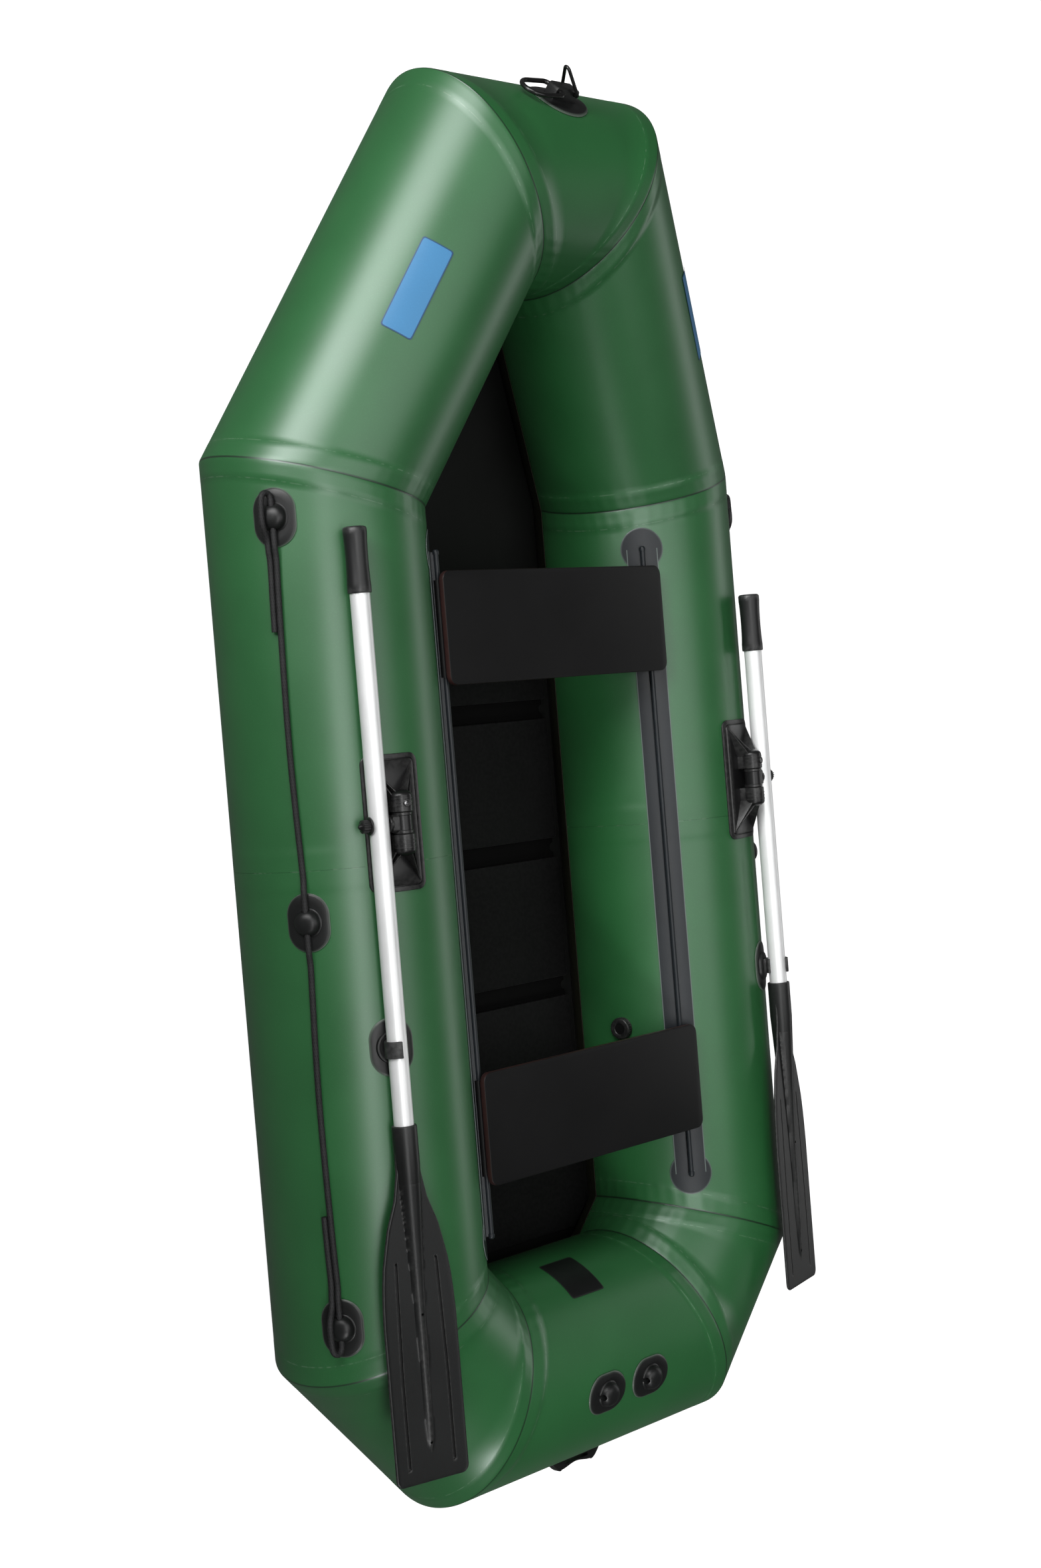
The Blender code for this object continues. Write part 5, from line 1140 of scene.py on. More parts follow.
@dataclass
class SeatRail:
    """A seat rail: a glued strip with a bead on a stem, and a round pad under each end."""

    side: Side
    angle: float = -45.0
    aft: float = -0.600
    fore: float = 0.464
    width: float = 0.052
    strip_wall: float = 0.0015
    stem: float = 0.003
    bead: float = 0.004
    lift: float = 0.010
    pad: float = 0.036
    pad_wall: float = 0.0010

    def bead_place(self, ahead: float) -> Vector:
        """Give the centre of the starboard bead at a station."""
        return side_frame(self.angle, ahead) @ Vector((0.0, 0.0, TUBE_RADIUS + self.lift))

    def build(self) -> None:
        """Build the strip with its bead, and the end pads."""
        low = TUBE_RADIUS + CLEARANCE + self.pad_wall / 8
        high = low + self.strip_wall
        turn = math.degrees(self.width / 2 / TUBE_RADIUS)
        edge = math.degrees(0.0011 / TUBE_RADIUS)
        stem_turn = math.degrees(math.asin(self.stem / 2 / self.bead))
        foot = math.degrees(math.asin(self.stem / 2 / high))
        outline = arc((0, 0), low, 90 - turn, 90 + turn, 10)
        # Marks of 1 lay the rail's pale rim colour on both outer edges of the strip: a painted highlight along each
        # edge.
        marks = [0.0] * len(outline)
        rims = ((90 + turn, 90 + turn - edge, 1.0), (90 + turn - 1.5 * edge, 90 + foot, 0.0))
        for start, end, mark in rims:
            outline += arc((0, 0), high, start, end, 2 if mark else 8)
            marks += [mark] * ((2 if mark else 8) + 1)
        outline += arc((0, TUBE_RADIUS + self.lift), self.bead, 270 - stem_turn, -90 + stem_turn, 28)
        marks += [0.0] * 29
        for start, end, mark in ((90 - foot, 90 - turn + 1.5 * edge, 0.0), (90 - turn + edge, 90 - turn, 1.0)):
            outline += arc((0, 0), high, start, end, 2 if mark else 8)
            marks += [mark] * ((2 if mark else 8) + 1)
        middle = (self.fore + self.aft) / 2
        place = side_frame(self.angle, middle)
        half = (self.fore - self.aft) / 2
        strip = Shape()
        stations = [-half + 2 * half * step / 12 for step in range(13)]
        strip.loft([[place @ Vector((x, y, z)) for x, z in outline] for y in stations],
                   marks={"rim": [marks] * len(stations)})
        bead_end = place @ Matrix.Translation((0, 0, TUBE_RADIUS + self.lift))
        for way in (-1, 1):
            cap = Shape()
            turn_over = Matrix.Rotation(0.0 if way > 0 else math.pi, 4, "X")
            cap.lathe([(0.0, 0.0045), (0.0030, 0.0040), (0.0047, 0.0022), (0.0051, 0.0), (0.0051, -0.004),
                       (0.0, -0.004)], Matrix.Identity(4), 24)
            strip.take(cap, bead_end @ Matrix.Translation((0, way * half, 0)) @ turn_over @ ALONG_Y)
        name = "rail_" + self.side.value
        for end in (self.aft, self.fore):
            pad = GluedPad(side_frame(self.angle, end))
            disc = oval(2 * self.pad, 2 * self.pad)
            # The end pads' edges are marked 1, falling to 0.4 on the shoulder, for the same painted highlight.
            pad.layers(strip, [
                (disc, 0.0001, 1.0), (disc, 0.6 * self.pad_wall, 1.0),
                (shrink(disc, 0.0012), self.pad_wall, 0.4),
                (shrink(disc, 0.0030), self.pad_wall, 0.0),
            ])
        publish(name + "_strip", strip.done(name), [RAIL_SLATE], Carrier("hull", (name,), "rail_rubber", self.side))


@dataclass
class Seat:
    """A seat board that slides along both rails."""

    name: str
    ahead: float
    depth: float = 0.176
    wall: float = 0.010
    corner: float = 0.015
    overhang: float = 0.0128
    rise: float = 0.0147

    def build(self) -> None:
        """Build the board with its bare edge."""
        bead = SeatRail(Side.STARBOARD).bead_place(self.ahead)
        outline = rounded_rectangle(2 * (bead.x + self.overhang), self.depth, self.corner, 12)
        board = Shape()
        low = bead.z + self.rise
        board.prism(outline, low, low + self.wall, Matrix.Translation((0.0, bead.y, 0.0)), edge=0.0012, steps=3)
        for face in board.mesh.faces:
            face.normal_update()
            face.material_index = 1 if abs(face.normal.z) < 0.35 else 0
        publish("seat_" + self.name + "_board", board.done("seat_board"), [SEAT_BLACK, SEAT_EDGE],
                Carrier("seat_" + self.name, ("seat_board_" + self.name,), "black_seat_board"))


# Geometry Nodes


class Growth:
    """A Geometry Nodes tree with named inputs that ends in a material."""

    def __init__(self, name: str, inputs: dict[str, tuple[str, float | int | None]]) -> None:
        """Start a tree.

        Args:
            name: the tree's name.
            inputs: each input's socket type and default, besides the geometry and the material.
        """
        self.tree = bpy.data.node_groups.new(name, "GeometryNodeTree")
        face = self.tree.interface
        face.new_socket("Geometry", in_out="INPUT", socket_type="NodeSocketGeometry")
        for key, (kind, default) in inputs.items():
            made = face.new_socket(key, in_out="INPUT", socket_type=kind)
            if default is not None:
                made.default_value = default
        face.new_socket("Material", in_out="INPUT", socket_type="NodeSocketMaterial")
        face.new_socket("Geometry", in_out="OUTPUT", socket_type="NodeSocketGeometry")
        self.graph = Graph(self.tree)
        self.entry = self.graph.add("NodeGroupInput").outputs

    def capture(self, geometry: bpy.types.NodeSocket, name: str, value: bpy.types.NodeSocket) -> bpy.types.Node:
        """Keep a number for each point while the geometry goes on changing.

        Args:
            geometry: the points.
            name: what the number is called.
            value: the number.

        Returns:
            A node with outputs Geometry and the number's own name.
        """
        made = self.graph.add("GeometryNodeCaptureAttribute", domain="POINT")
        made.capture_items.new("FLOAT", name)
        self.graph.fill(made, {"Geometry": geometry, name: value})
        return made

    def close(self, geometry: bpy.types.NodeSocket) -> bpy.types.NodeTree:
        """Realize the instances, set the material and link the output.

        Args:
            geometry: what the tree has made.

        Returns:
            The finished tree.
        """
        real = self.graph.add("GeometryNodeRealizeInstances", {"Geometry": geometry})
        paint = self.graph.add("GeometryNodeSetMaterial",
                               {"Geometry": real.outputs["Geometry"], "Material": self.entry["Material"]})
        self.graph.add("NodeGroupOutput", {"Geometry": paint.outputs["Geometry"]})
        return self.tree


def make_rope_tree() -> bpy.types.NodeTree:
    """Build the tree that braids a rope along a curve.

    Returns:
        A tree with inputs Radius, Strands, Pitch, Relief, Step and Sides.
    """
    growth = Growth("braided_rope", {
        "Radius": ("NodeSocketFloat", 0.00425), "Strands": ("NodeSocketInt", 6), "Pitch": ("NodeSocketFloat", 0.016),
        "Relief": ("NodeSocketFloat", 0.0006), "Step": ("NodeSocketFloat", 0.0012), "Sides": ("NodeSocketInt", 24),
    })
    graph = growth.graph
    entry = growth.entry
    spaced = graph.add("GeometryNodeResampleCurve")
    menu = spaced.inputs.get("Mode")
    if menu is None:
        spaced.mode = "LENGTH"
    else:
        menu.default_value = "Length"
    graph.fill(spaced, {"Curve": entry["Geometry"], "Length": entry["Step"]})
    length = graph.add("GeometryNodeSplineParameter").outputs["Length"]
    along = growth.capture(spaced.outputs["Curve"], "along", length)
    circle = graph.add("GeometryNodeCurvePrimitiveCircle",
                       {"Resolution": entry["Sides"], "Radius": entry["Radius"]}, mode="RADIUS")
    index = graph.math("DIVIDE", graph.add("GeometryNodeInputIndex").outputs[0], entry["Sides"])
    around = growth.capture(circle.outputs["Curve"], "around", index)
    skin = graph.add("GeometryNodeCurveToMesh", {
        "Curve": along.outputs["Geometry"], "Profile Curve": around.outputs["Geometry"], "Fill Caps": True,
    })
    climb = graph.math("MULTIPLY", graph.math("DIVIDE", along.outputs["along"], entry["Pitch"]), 2 * math.pi)
    circuit = graph.math("MULTIPLY", graph.math("MULTIPLY", around.outputs["around"], entry["Strands"]), math.pi)
    strands = [graph.math("ABSOLUTE", graph.math("SINE", graph.math(sign, circuit, climb)))
               for sign in ("ADD", "SUBTRACT")]
    braid = graph.math("SUBTRACT", graph.math("MAXIMUM", *strands), 1.0)
    normal = graph.add("GeometryNodeInputNormal").outputs[0]
    push = graph.add("ShaderNodeVectorMath", {0: normal, "Scale": graph.math("MULTIPLY", braid, entry["Relief"])},
                     operation="SCALE")
    moved = graph.add("GeometryNodeSetPosition", {"Geometry": skin.outputs[0], "Offset": push.outputs[0]})
    # The strands' crests are stored as rim for the rope's grey rim colour: a painted highlight on each crest.
    crest = graph.math("MULTIPLY", graph.band(braid, -0.10, 0.0), 0.45)
    stored = graph.add("GeometryNodeStoreNamedAttribute",
                       {"Geometry": moved.outputs[0], "Name": "rim", "Value": crest}, data_type="FLOAT",
                       domain="POINT")
    return growth.close(stored.outputs[0])


def make_rib_tree() -> bpy.types.NodeTree:
    """Build the tree that sets upright bars round a circle.

    Returns:
        A tree with inputs Count, Radius, Wide, Deep, Tall and Lift.
    """
    growth = Growth("radial_ribs", {
        "Count": ("NodeSocketInt", 12), "Radius": ("NodeSocketFloat", 0.019), "Wide": ("NodeSocketFloat", 0.002),
        "Deep": ("NodeSocketFloat", 0.002), "Tall": ("NodeSocketFloat", 0.009), "Lift": ("NodeSocketFloat", 0.0),
    })
    graph = growth.graph
    entry = growth.entry
    circle = graph.add("GeometryNodeMeshCircle", {"Vertices": entry["Count"], "Radius": entry["Radius"]})
    bar = graph.add("GeometryNodeMeshCylinder", {"Vertices": 10, "Side Segments": 2, "Radius": 0.5, "Depth": 1.0})
    size = graph.add("ShaderNodeCombineXYZ", {0: entry["Deep"], 1: entry["Wide"], 2: entry["Tall"]})
    split = graph.add("ShaderNodeSeparateXYZ", {0: graph.add("GeometryNodeInputPosition").outputs[0]})
    turn = graph.add("ShaderNodeCombineXYZ", {2: graph.math("ARCTAN2", split.outputs[1], split.outputs[0])})
    stand = graph.add("GeometryNodeInstanceOnPoints", {
        "Points": circle.outputs["Mesh"], "Instance": bar.outputs["Mesh"], "Scale": size.outputs[0],
        "Rotation": turn.outputs[0],
    })
    real = graph.add("GeometryNodeRealizeInstances", {"Geometry": stand.outputs["Instances"]})
    raise_by = graph.add("ShaderNodeCombineXYZ", {2: entry["Lift"]})
    lifted = graph.add("GeometryNodeSetPosition",
                       {"Geometry": real.outputs["Geometry"], "Offset": raise_by.outputs[0]})
    return growth.close(lifted.outputs[0])


ROPE_TREE = make_rope_tree()
RIB_TREE = make_rib_tree()


def grow(data: bpy.types.ID, tree: bpy.types.NodeTree, settings: dict[str, object]) -> bpy.types.Mesh:
    """Run a tree on a mesh or curve and take the result.

    Args:
        data: the mesh or curve that the tree starts from.
        tree: the Geometry Nodes tree.
        settings: a value for each of its inputs by name.

    Returns:
        The plain mesh.
    """
    holder = add_object(tree.name, data)
    modifier = holder.modifiers.new("growth", "NODES")
    modifier.node_group = tree
    for item in tree.interface.items_tree:
        if item.item_type == "SOCKET" and item.in_out == "INPUT" and item.name in settings:
            modifier[item.identifier] = settings[item.name]
    return settled(holder)


def ribs(shape: Shape, place: Matrix, finish: Finish, **sizes: float) -> None:
    """Stand a ring of bars in a shape.

    Args:
        shape: the shape that takes them.
        place: the frame whose Z they stand round.
        finish: the finish of the piece.
        sizes: a value for each of the rib tree's own inputs, by name.
    """
    shape.take_mesh(grow(bpy.data.meshes.new("seed"), RIB_TREE, {**sizes, "Material": finish.make()}), place)


# Fittings


@dataclass
class Oarlock:
    """A glued oarlock base with two housings, and the barrel that carries the oar between them."""

    side: Side
    angle: float = OARLOCK_ANGLE
    ahead: float = 0.0605
    width: float = 0.096
    length: float = 0.205
    corner: float = 0.014
    pad_wall: float = 0.0025
    panel_wall: float = 0.0042
    inset: float = 0.009
    housing: float = 0.017
    housing_length: float = 0.033
    dome: float = 0.00935
    saddle: float = 0.028
    barrel: float = 0.015
    barrel_length: float = 0.0324
    gusset_wall: float = 0.0022
    gusset_reach: float = 0.040
    gusset_spread: float = 0.036
    collar: float = 0.0115
    collar_wall: float = 0.004
    screw: float = 0.0036

    def frame(self) -> Matrix:
        """Give the frame on the tube's axis under the oarlock."""
        return side_frame(self.angle, self.ahead)

    def gusset(self, shape: Shape, start: Flat, end: Flat, rise: float) -> None:
        """Add a thin upright rib that falls from a housing to the panel.

        Args:
            shape: the shape to add it to.
            start: its high end in the frame's plane.
            end: its low end.
            rise: the high end's height over the tube's axis.
        """
        run = Vector((end[0] - start[0], end[1] - start[1], 0.0))
        along = run.normalized()
        across = Vector((0.0, 0.0, 1.0)).cross(along)
        place = axes(along, (0.0, 0.0, 1.0), -across, (*start, 0.0))
        embed = CLEARANCE + self.pad_wall / 2
        foot = math.sqrt((TUBE_RADIUS + embed) ** 2 - start[0] ** 2)
        toe = math.sqrt((TUBE_RADIUS + embed) ** 2 - end[0] ** 2)
        outline = [(0.0, foot), (run.length, toe), (run.length, toe + self.panel_wall * 0.7), (0.0, rise)]
        shape.prism(outline, -self.gusset_wall / 2, self.gusset_wall / 2, self.frame() @ place, edge=0.0005, steps=2)

    def build_base(self) -> None:
        """Build the pad, the ribbed housings and the screw on the forward one."""
        frame = self.frame()
        base = Shape()
        pad = GluedPad(frame, points=320)
        outline = rounded_rectangle(self.width, self.length, self.corner)
        panel = rounded_rectangle(self.width - 2 * self.inset, self.length - 2 * self.inset, self.corner / 2)
        pad.layers(base, [
            (outline, 0.0001, 0.0), (outline, 0.0019, 0.0),
            (shrink(outline, 0.0007), self.pad_wall, 0.0),
            (rounded_rectangle(self.width - 0.0135, self.length - 0.0135, 0.009), self.pad_wall, 0.0),
            (rounded_rectangle(self.width - 0.0150, self.length - 0.0150, 0.008), 0.0014, 0.0),
            (rounded_rectangle(self.width - 0.0168, self.length - 0.0168, 0.0075), 0.0014, 0.0),
            (panel, self.panel_wall - 0.0006, 0.0), (shrink(panel, 0.0008), self.panel_wall, 0.0),
        ])
        inner = self.barrel_length / 2 + CLEARANCE
        outer = inner + self.housing_length
        for way in (1, -1):
            turn = ALONG_Y if way > 0 else ALONG_Y @ Matrix.Rotation(math.pi, 4, "X")
            axis = frame @ Matrix.Translation((0, 0, ROLL_AXIS_RADIUS)) @ turn
            body = Shape()
            cap = [(self.housing * math.sin(t), outer - self.dome + self.dome * math.cos(t))
                   for t in (math.radians(90 * step / 12) for step in range(13))]
            body.lathe(cap + [(self.housing, inner + 0.0008), (self.housing - 0.0008, inner), (0.0, inner)], axis, 64)
            for ridge in (0.28, 0.52, 0.76):
                middle = inner + (outer - self.dome - inner) * ridge + 0.002
                body.lathe([(self.housing - 0.001, middle + 0.0011), (self.housing + 0.0006, middle + 0.0007),
                            (self.housing + 0.0006, middle - 0.0007), (self.housing - 0.001, middle - 0.0011)],
                           axis, 64, ring=True)
            if way > 0:
                self.add_screw(body, frame, inner)
            base.take(body)
            foot = TUBE_RADIUS + CLEARANCE + self.pad_wall / 2
            length = self.housing_length - self.dome
            block = rounded_rectangle(self.saddle, length, 0.0015, 3)
            base.prism(block, foot, ROLL_AXIS_RADIUS, frame @ Matrix.Translation((0, way * (inner + length / 2), 0)))
            for hand in (1, -1):
                corner = (hand * self.gusset_spread, way * (outer + self.gusset_reach))
                for across, rise in ((0.00425, 0.01054), (0.0136, 0.0051)):
                    self.gusset(base, (hand * across, way * (outer - 0.0112)), corner, ROLL_AXIS_RADIUS + rise)
        name = "oarlock_base_" + self.side.value
        publish(name + "_moulding", base.done(name), [BLACK_PLASTIC],
                Carrier("hull", (name,), "black_plastic", self.side))

    def add_screw(self, body: Shape, frame: Matrix, inner: float) -> None:
        """Sink a crosshead screw in the top of a housing.

        Args:
            body: the housing, which gets a boss round the screw.
            frame: the oarlock's frame.
            inner: where the housing starts.
        """
        spot = frame @ Matrix.Translation((0.0, inner + 0.013, ROLL_AXIS_RADIUS + self.housing))
        body.lathe([(0.0058, -0.003), (0.0058, 0.0008), (0.0052, 0.0014), (0.0042, 0.0014), (0.0040, 0.0010),
                    (0.0040, -0.003)], spot, 40, ring=True)
        head = Shape()
        head.lathe([(0.0, 0.0009), (self.screw * 0.55, 0.0007), (self.screw, 0.0), (self.screw, -0.003),
                    (0.0, -0.003)], spot, 40)
        mesh = head.done("screw")
        for quarter in (0, 1):
            place = spot @ Matrix.Rotation(math.radians(20 + 90 * quarter), 4, "Z")
            slot = Shape()
            slot.prism(rounded_rectangle(0.0046, 0.0009, 0.0002, 2), -0.0012, 0.003, place)
            mesh = cut(mesh, slot)
        publish("oarlock_screw_" + self.side.value, mesh, [STEEL], Carrier("hull", side=self.side))

    def build_barrel(self) -> None:
        """Build the rolling barrel with its neck, collar and pin."""
        frame = self.frame() @ Matrix.Translation((0, 0, ROLL_AXIS_RADIUS))
        half = self.barrel_length / 2
        shape = Shape()
        lip = 0.0010
        shape.lathe([(0.0, half), (self.barrel - lip, half), (self.barrel, half - lip), (self.barrel, half - 0.0045),
                     (self.barrel - 0.0008, half - 0.0055), (self.barrel - 0.0008, 0.0055 - half),
                     (self.barrel, 0.0045 - half), (self.barrel, lip - half), (self.barrel - lip, -half),
                     (0.0, -half)], frame @ ALONG_Y, 64)
        face = SHAFT_OFFSET - SHAFT_RADIUS - CLEARANCE
        back = face - self.collar_wall
        neck = rounded_rectangle(0.0195, 0.0259, 0.004, 6)
        shape.prism(neck, 0.0005, back + 0.0005, frame @ ALONG_X)
        shape.lathe([(0.0, face), (self.collar - 0.0007, face), (self.collar, face - 0.0007),
                     (self.collar, back - 0.0003), (self.collar - 0.0007, back - 0.001), (0.0, back - 0.001)],
                    frame @ ALONG_X, 56)
        pin = 0.0047
        end = SHAFT_OFFSET + SHAFT_RADIUS + 0.00805
        shape.lathe([(0.0, end), (pin, end), (pin, back), (0.0, back)], frame @ ALONG_X, 32)
        name = "oarlock_barrel_" + self.side.value
        publish(name + "_moulding", shape.done(name), [BLACK_PLASTIC],
                Carrier("oarlock_" + self.side.value, (name,), "black_plastic", self.side))

    def build_nut(self) -> None:
        """Build the flanged cap nut with its fluted body and pointed end."""
        frame = self.frame() @ Matrix.Translation((0, 0, ROLL_AXIS_RADIUS)) @ ALONG_X
        face = SHAFT_OFFSET + SHAFT_RADIUS + CLEARANCE
        shoulder = face + 0.0025
        body_end = shoulder + 0.0115
        tip = body_end + 0.0057
        core = 0.0088
        shape = Shape()
        shape.lathe([(0.0, tip), (0.0012, tip - 0.0002), (0.0022, tip - 0.0008), (0.0050, body_end + 0.0014),
                     (0.0062, body_end + 0.0007), (core - 0.0012, body_end), (core, body_end - 0.0012),
                     (core, shoulder), (0.0130, shoulder), (0.0135, shoulder - 0.0005), (0.0135, face + 0.0003),
                     (0.0132, face), (0.0, face)], frame, 64)
        ribs(shape, frame, BLACK_PLASTIC, Count=16, Radius=core, Wide=0.0021, Deep=0.0024,
             Tall=body_end - shoulder - 0.0008, Lift=(body_end + shoulder) / 2)
        name = "oarlock_nut_" + self.side.value
        publish(name + "_moulding", shape.done(name), [BLACK_PLASTIC],
                Carrier("nut_" + self.side.value, (name,), "black_plastic", self.side))

    def build(self) -> None:
        """Build the base, the barrel and the nut."""
        self.build_base()
        self.build_barrel()
        self.build_nut()


@dataclass
class Oar:
    """An oar: tube shaft, moulded grip and ribbed blade."""

    side: Side
    grip_end: float
    blade_start: float
    grip: float = 0.018
    waist: float = 0.0168
    grip_length: float = 0.098
    cap: float = 0.006
    socket: float = 0.090
    length: float = 0.531
    half_wall: float = 0.0021
    half: float = 0.062
    neck: float = 0.019
    corner: float = 0.012
    groove_depth: float = 0.0016
    groove_half: float = 0.0021
    groove_start: float = 0.200
    groove_end: float = 0.508
    rim: float = 0.0035
    holes: Flat = (0.281, 0.473)
    edge: tuple[Flat, ...] = ((0.030, 0.0186), (0.070, 0.0209), (0.110, 0.0285), (0.150, 0.0434), (0.180, 0.0502),
                              (0.205, 0.0555), (0.230, 0.0586), (0.255, 0.0605), (0.290, 0.0620), (0.531, 0.0620))
    rib: tuple[Flat, ...] = ((0.0, 0.0190), (0.060, 0.0190), (0.120, 0.0163), (0.170, 0.0137), (0.240, 0.0106),
                             (0.300, 0.0087), (0.420, 0.0072), (0.470, 0.0057), (0.490, 0.0010), (0.531, 0.0))

    def line(self) -> Matrix:
        """Give the frame on the shaft's axis, level with the mid seam."""
        return side_frame(OARLOCK_ANGLE, 0.0) @ Matrix.Translation((SHAFT_OFFSET, 0, ROLL_AXIS_RADIUS))

    def carrier(self, node: str, slot: str) -> Carrier:
        """Say what an oar's piece rides on and stands for."""
        return Carrier("oar_" + self.side.value, (node + self.side.value,), slot, self.side)

    def build_shaft(self) -> None:
        """Build the tube."""
        fore = self.grip_end - self.cap - CLEARANCE
        aft = self.blade_start - self.socket
        inner = SHAFT_RADIUS - 0.0015
        shape = Shape()
        shape.lathe([(SHAFT_RADIUS, fore), (SHAFT_RADIUS, aft), (inner, aft), (inner, fore)],
                    self.line() @ ALONG_Y, 96, ring=True)
        publish("oar_shaft_" + self.side.value + "_tube", shape.done("shaft"), [ALUMINIUM],
                self.carrier("oar_shaft_", "bright_aluminium"))

    def build_grip(self) -> None:
        """Build the grip, waisted between a cuff and a rounded end."""
        end = self.grip_end
        start = end - self.grip_length
        bore = SHAFT_RADIUS + CLEARANCE
        profile = [(0.0, end), (self.grip - 0.0040, end - 0.0001), (self.grip - 0.0022, end - 0.0006),
                   (self.grip - 0.0008, end - 0.0018), (self.grip, end - 0.0036), (self.grip, end - 0.012)]
        for step in range(1, 12):
            share = step / 12
            bend = self.grip - (self.grip - self.waist) * math.sin(math.pi * share) ** 0.7
            profile.append((bend, end - 0.012 - (self.grip_length - 0.024) * share))
        profile += [(self.grip, start + 0.012), (self.grip, start + 0.0016), (self.grip - 0.0006, start + 0.0004),
                    (self.grip - 0.0014, start), (bore, start), (bore, end - self.cap), (0.0, end - self.cap)]
        shape = Shape()
        shape.lathe(profile, self.line() @ ALONG_Y, 72)
        publish("oar_grip_" + self.side.value + "_moulding", shape.done("grip"), [GRIP_RUBBER],
                self.carrier("oar_grip_", "grip_rubber"))

    def width_at(self, along: float) -> float:
        """Give the blade's half width at a distance from its neck.

        Args:
            along: metres from the neck.

        Returns:
            The half width.
        """
        for (start, first), (end, last) in zip(self.edge, self.edge[1:]):
            if along <= end:
                share = (along - start) / (end - start)
                wide = first + (last - first) * share
                break
        into = along - (self.length - self.corner)
        if into > 0:
            wide -= self.corner - math.sqrt(max(0.0, self.corner ** 2 - into ** 2))
        return wide

    def rib_at(self, along: float) -> float:
        """Give the spine's radius at a distance from the neck.

        Args:
            along: metres from the neck.

        Returns:
            The radius.
        """
        for (start, first), (end, last) in zip(self.rib, self.rib[1:]):
            if along <= end:
                return first + (last - first) * (along - start) / (end - start)
        return 0.0

    def height_at(self, along: float, across: float, wide: float, groove: float) -> float:
        """Give the height of the blade's face over its middle plane.

        Args:
            along: metres from the neck.
            across: metres from the middle, without sign.
            wide: the half width there.
            groove: where the groove's middle is.

        Returns:
            The height.
        """
        plate = self.half_wall + 0.0005 * max(0.0, 1 - abs(across - (wide - 0.0022)) / 0.0022)
        into_edge = max(0.0, (across - (wide - self.rim)) / self.rim)
        into_tip = max(0.0, (along - (self.length - self.rim)) / self.rim)
        for into in (into_edge, into_tip):
            plate *= max(0.0, 1 - min(1.0, into) ** 2.5) ** 0.4
        radius = self.rib_at(along) - (0.0005 if along < 0.085 else 0.0)
        spine = math.sqrt(max(0.0, radius ** 2 - across ** 2))
        blend = 0.0018
        gap = spine - plate
        if gap > blend:
            height = spine
        elif gap > -blend:
            height = plate + (gap + blend) ** 2 / (4 * blend)
        else:
            height = plate
        if self.groove_start < along < self.groove_end and abs(across - groove) < self.groove_half:
            ends = min(1.0, (along - self.groove_start) / 0.002, (self.groove_end - along) / 0.002)
            height -= self.groove_depth * ends * min(1.0, (self.groove_half - abs(across - groove)) / 0.0004)
        return max(height, 0.00015)

    def build_blade(self) -> None:
        """Build the blade: a grooved plate with a round spine that sockets the shaft."""
        root = self.line() @ Matrix.Translation((0, self.blade_start, 0))
        rows = [0.030 + 0.0035 * step for step in range(135)] + [0.5020, 0.5050, 0.5062, 0.5074, 0.5086]
        rows += [0.5120, 0.5160, 0.5190, 0.5220, 0.5250, 0.5272, 0.5285, 0.5295, 0.5302, 0.5306, 0.5309]
        rows += [0.1992, 0.2008, 0.2022]
        rings = []
        marks = []
        for along in sorted(rows):
            wide = self.width_at(along)
            slant = 0.034 + 0.008 * (along - self.groove_start) / (self.groove_end - self.groove_start)
            groove = min(slant, wide * 0.62)
            near, far = groove - self.groove_half, groove + self.groove_half
            knots = [(0.0, near, 14), (near, near + 0.0004, 1), (near + 0.0004, far - 0.0004, 2),
                     (far - 0.0004, far, 1), (far, wide - self.rim - 0.001, 5), (wide - self.rim - 0.001, wide, 9)]
            half = [low + (high - low) * step / count for low, high, count in knots for step in range(count)]
            half.append(wide)
            heights = [self.height_at(along, across, wide, groove) for across in half]
            right = list(zip(half, heights))
            upper = [(-x, z) for x, z in reversed(right)] + right[1:]
            lower = [(x, -z) for x, z in reversed(upper)]
            rings.append([root @ Vector((x, -along, z)) for x, z in upper + lower])
            # Groove floors are marked for the blade's near-black rim colour: painted shade in the grooves.
            inside = self.groove_start < along < self.groove_end
            marks.append([float(inside and near + 0.0002 < abs(x) < far - 0.0002) for x, _ in upper + lower])
        shape = Shape()
        shape.loft(rings, marks={"rim": marks})
        bore = SHAFT_RADIUS + CLEARANCE
        shape.lathe([(self.neck - 0.0012, 0.0), (self.neck - 0.0003, -0.0006), (self.neck, -0.0020),
                     (self.neck, -0.0600), (0.0178, -0.0860), (0.0165, -0.0960), (bore, -0.0965), (bore, 0.0)],
                    root @ ALONG_Y, 64, ring=True)
        drill = Shape()
        for along in self.holes:
            drill.lathe([(0.0, self.neck), (0.002, self.neck), (0.002, -self.neck), (0.0, -self.neck)],
                        root @ Matrix.Translation((0, -along, 0)), 24)
        mesh = cut(shape.done("blade"), drill)
        publish("oar_blade_" + self.side.value + "_moulding", mesh, [BLADE_PLASTIC],
                self.carrier("oar_blade_", "black_plastic"))

    def build(self) -> None:
        """Build the shaft, the grip and the blade."""
        self.build_shaft()
        self.build_grip()
        self.build_blade()


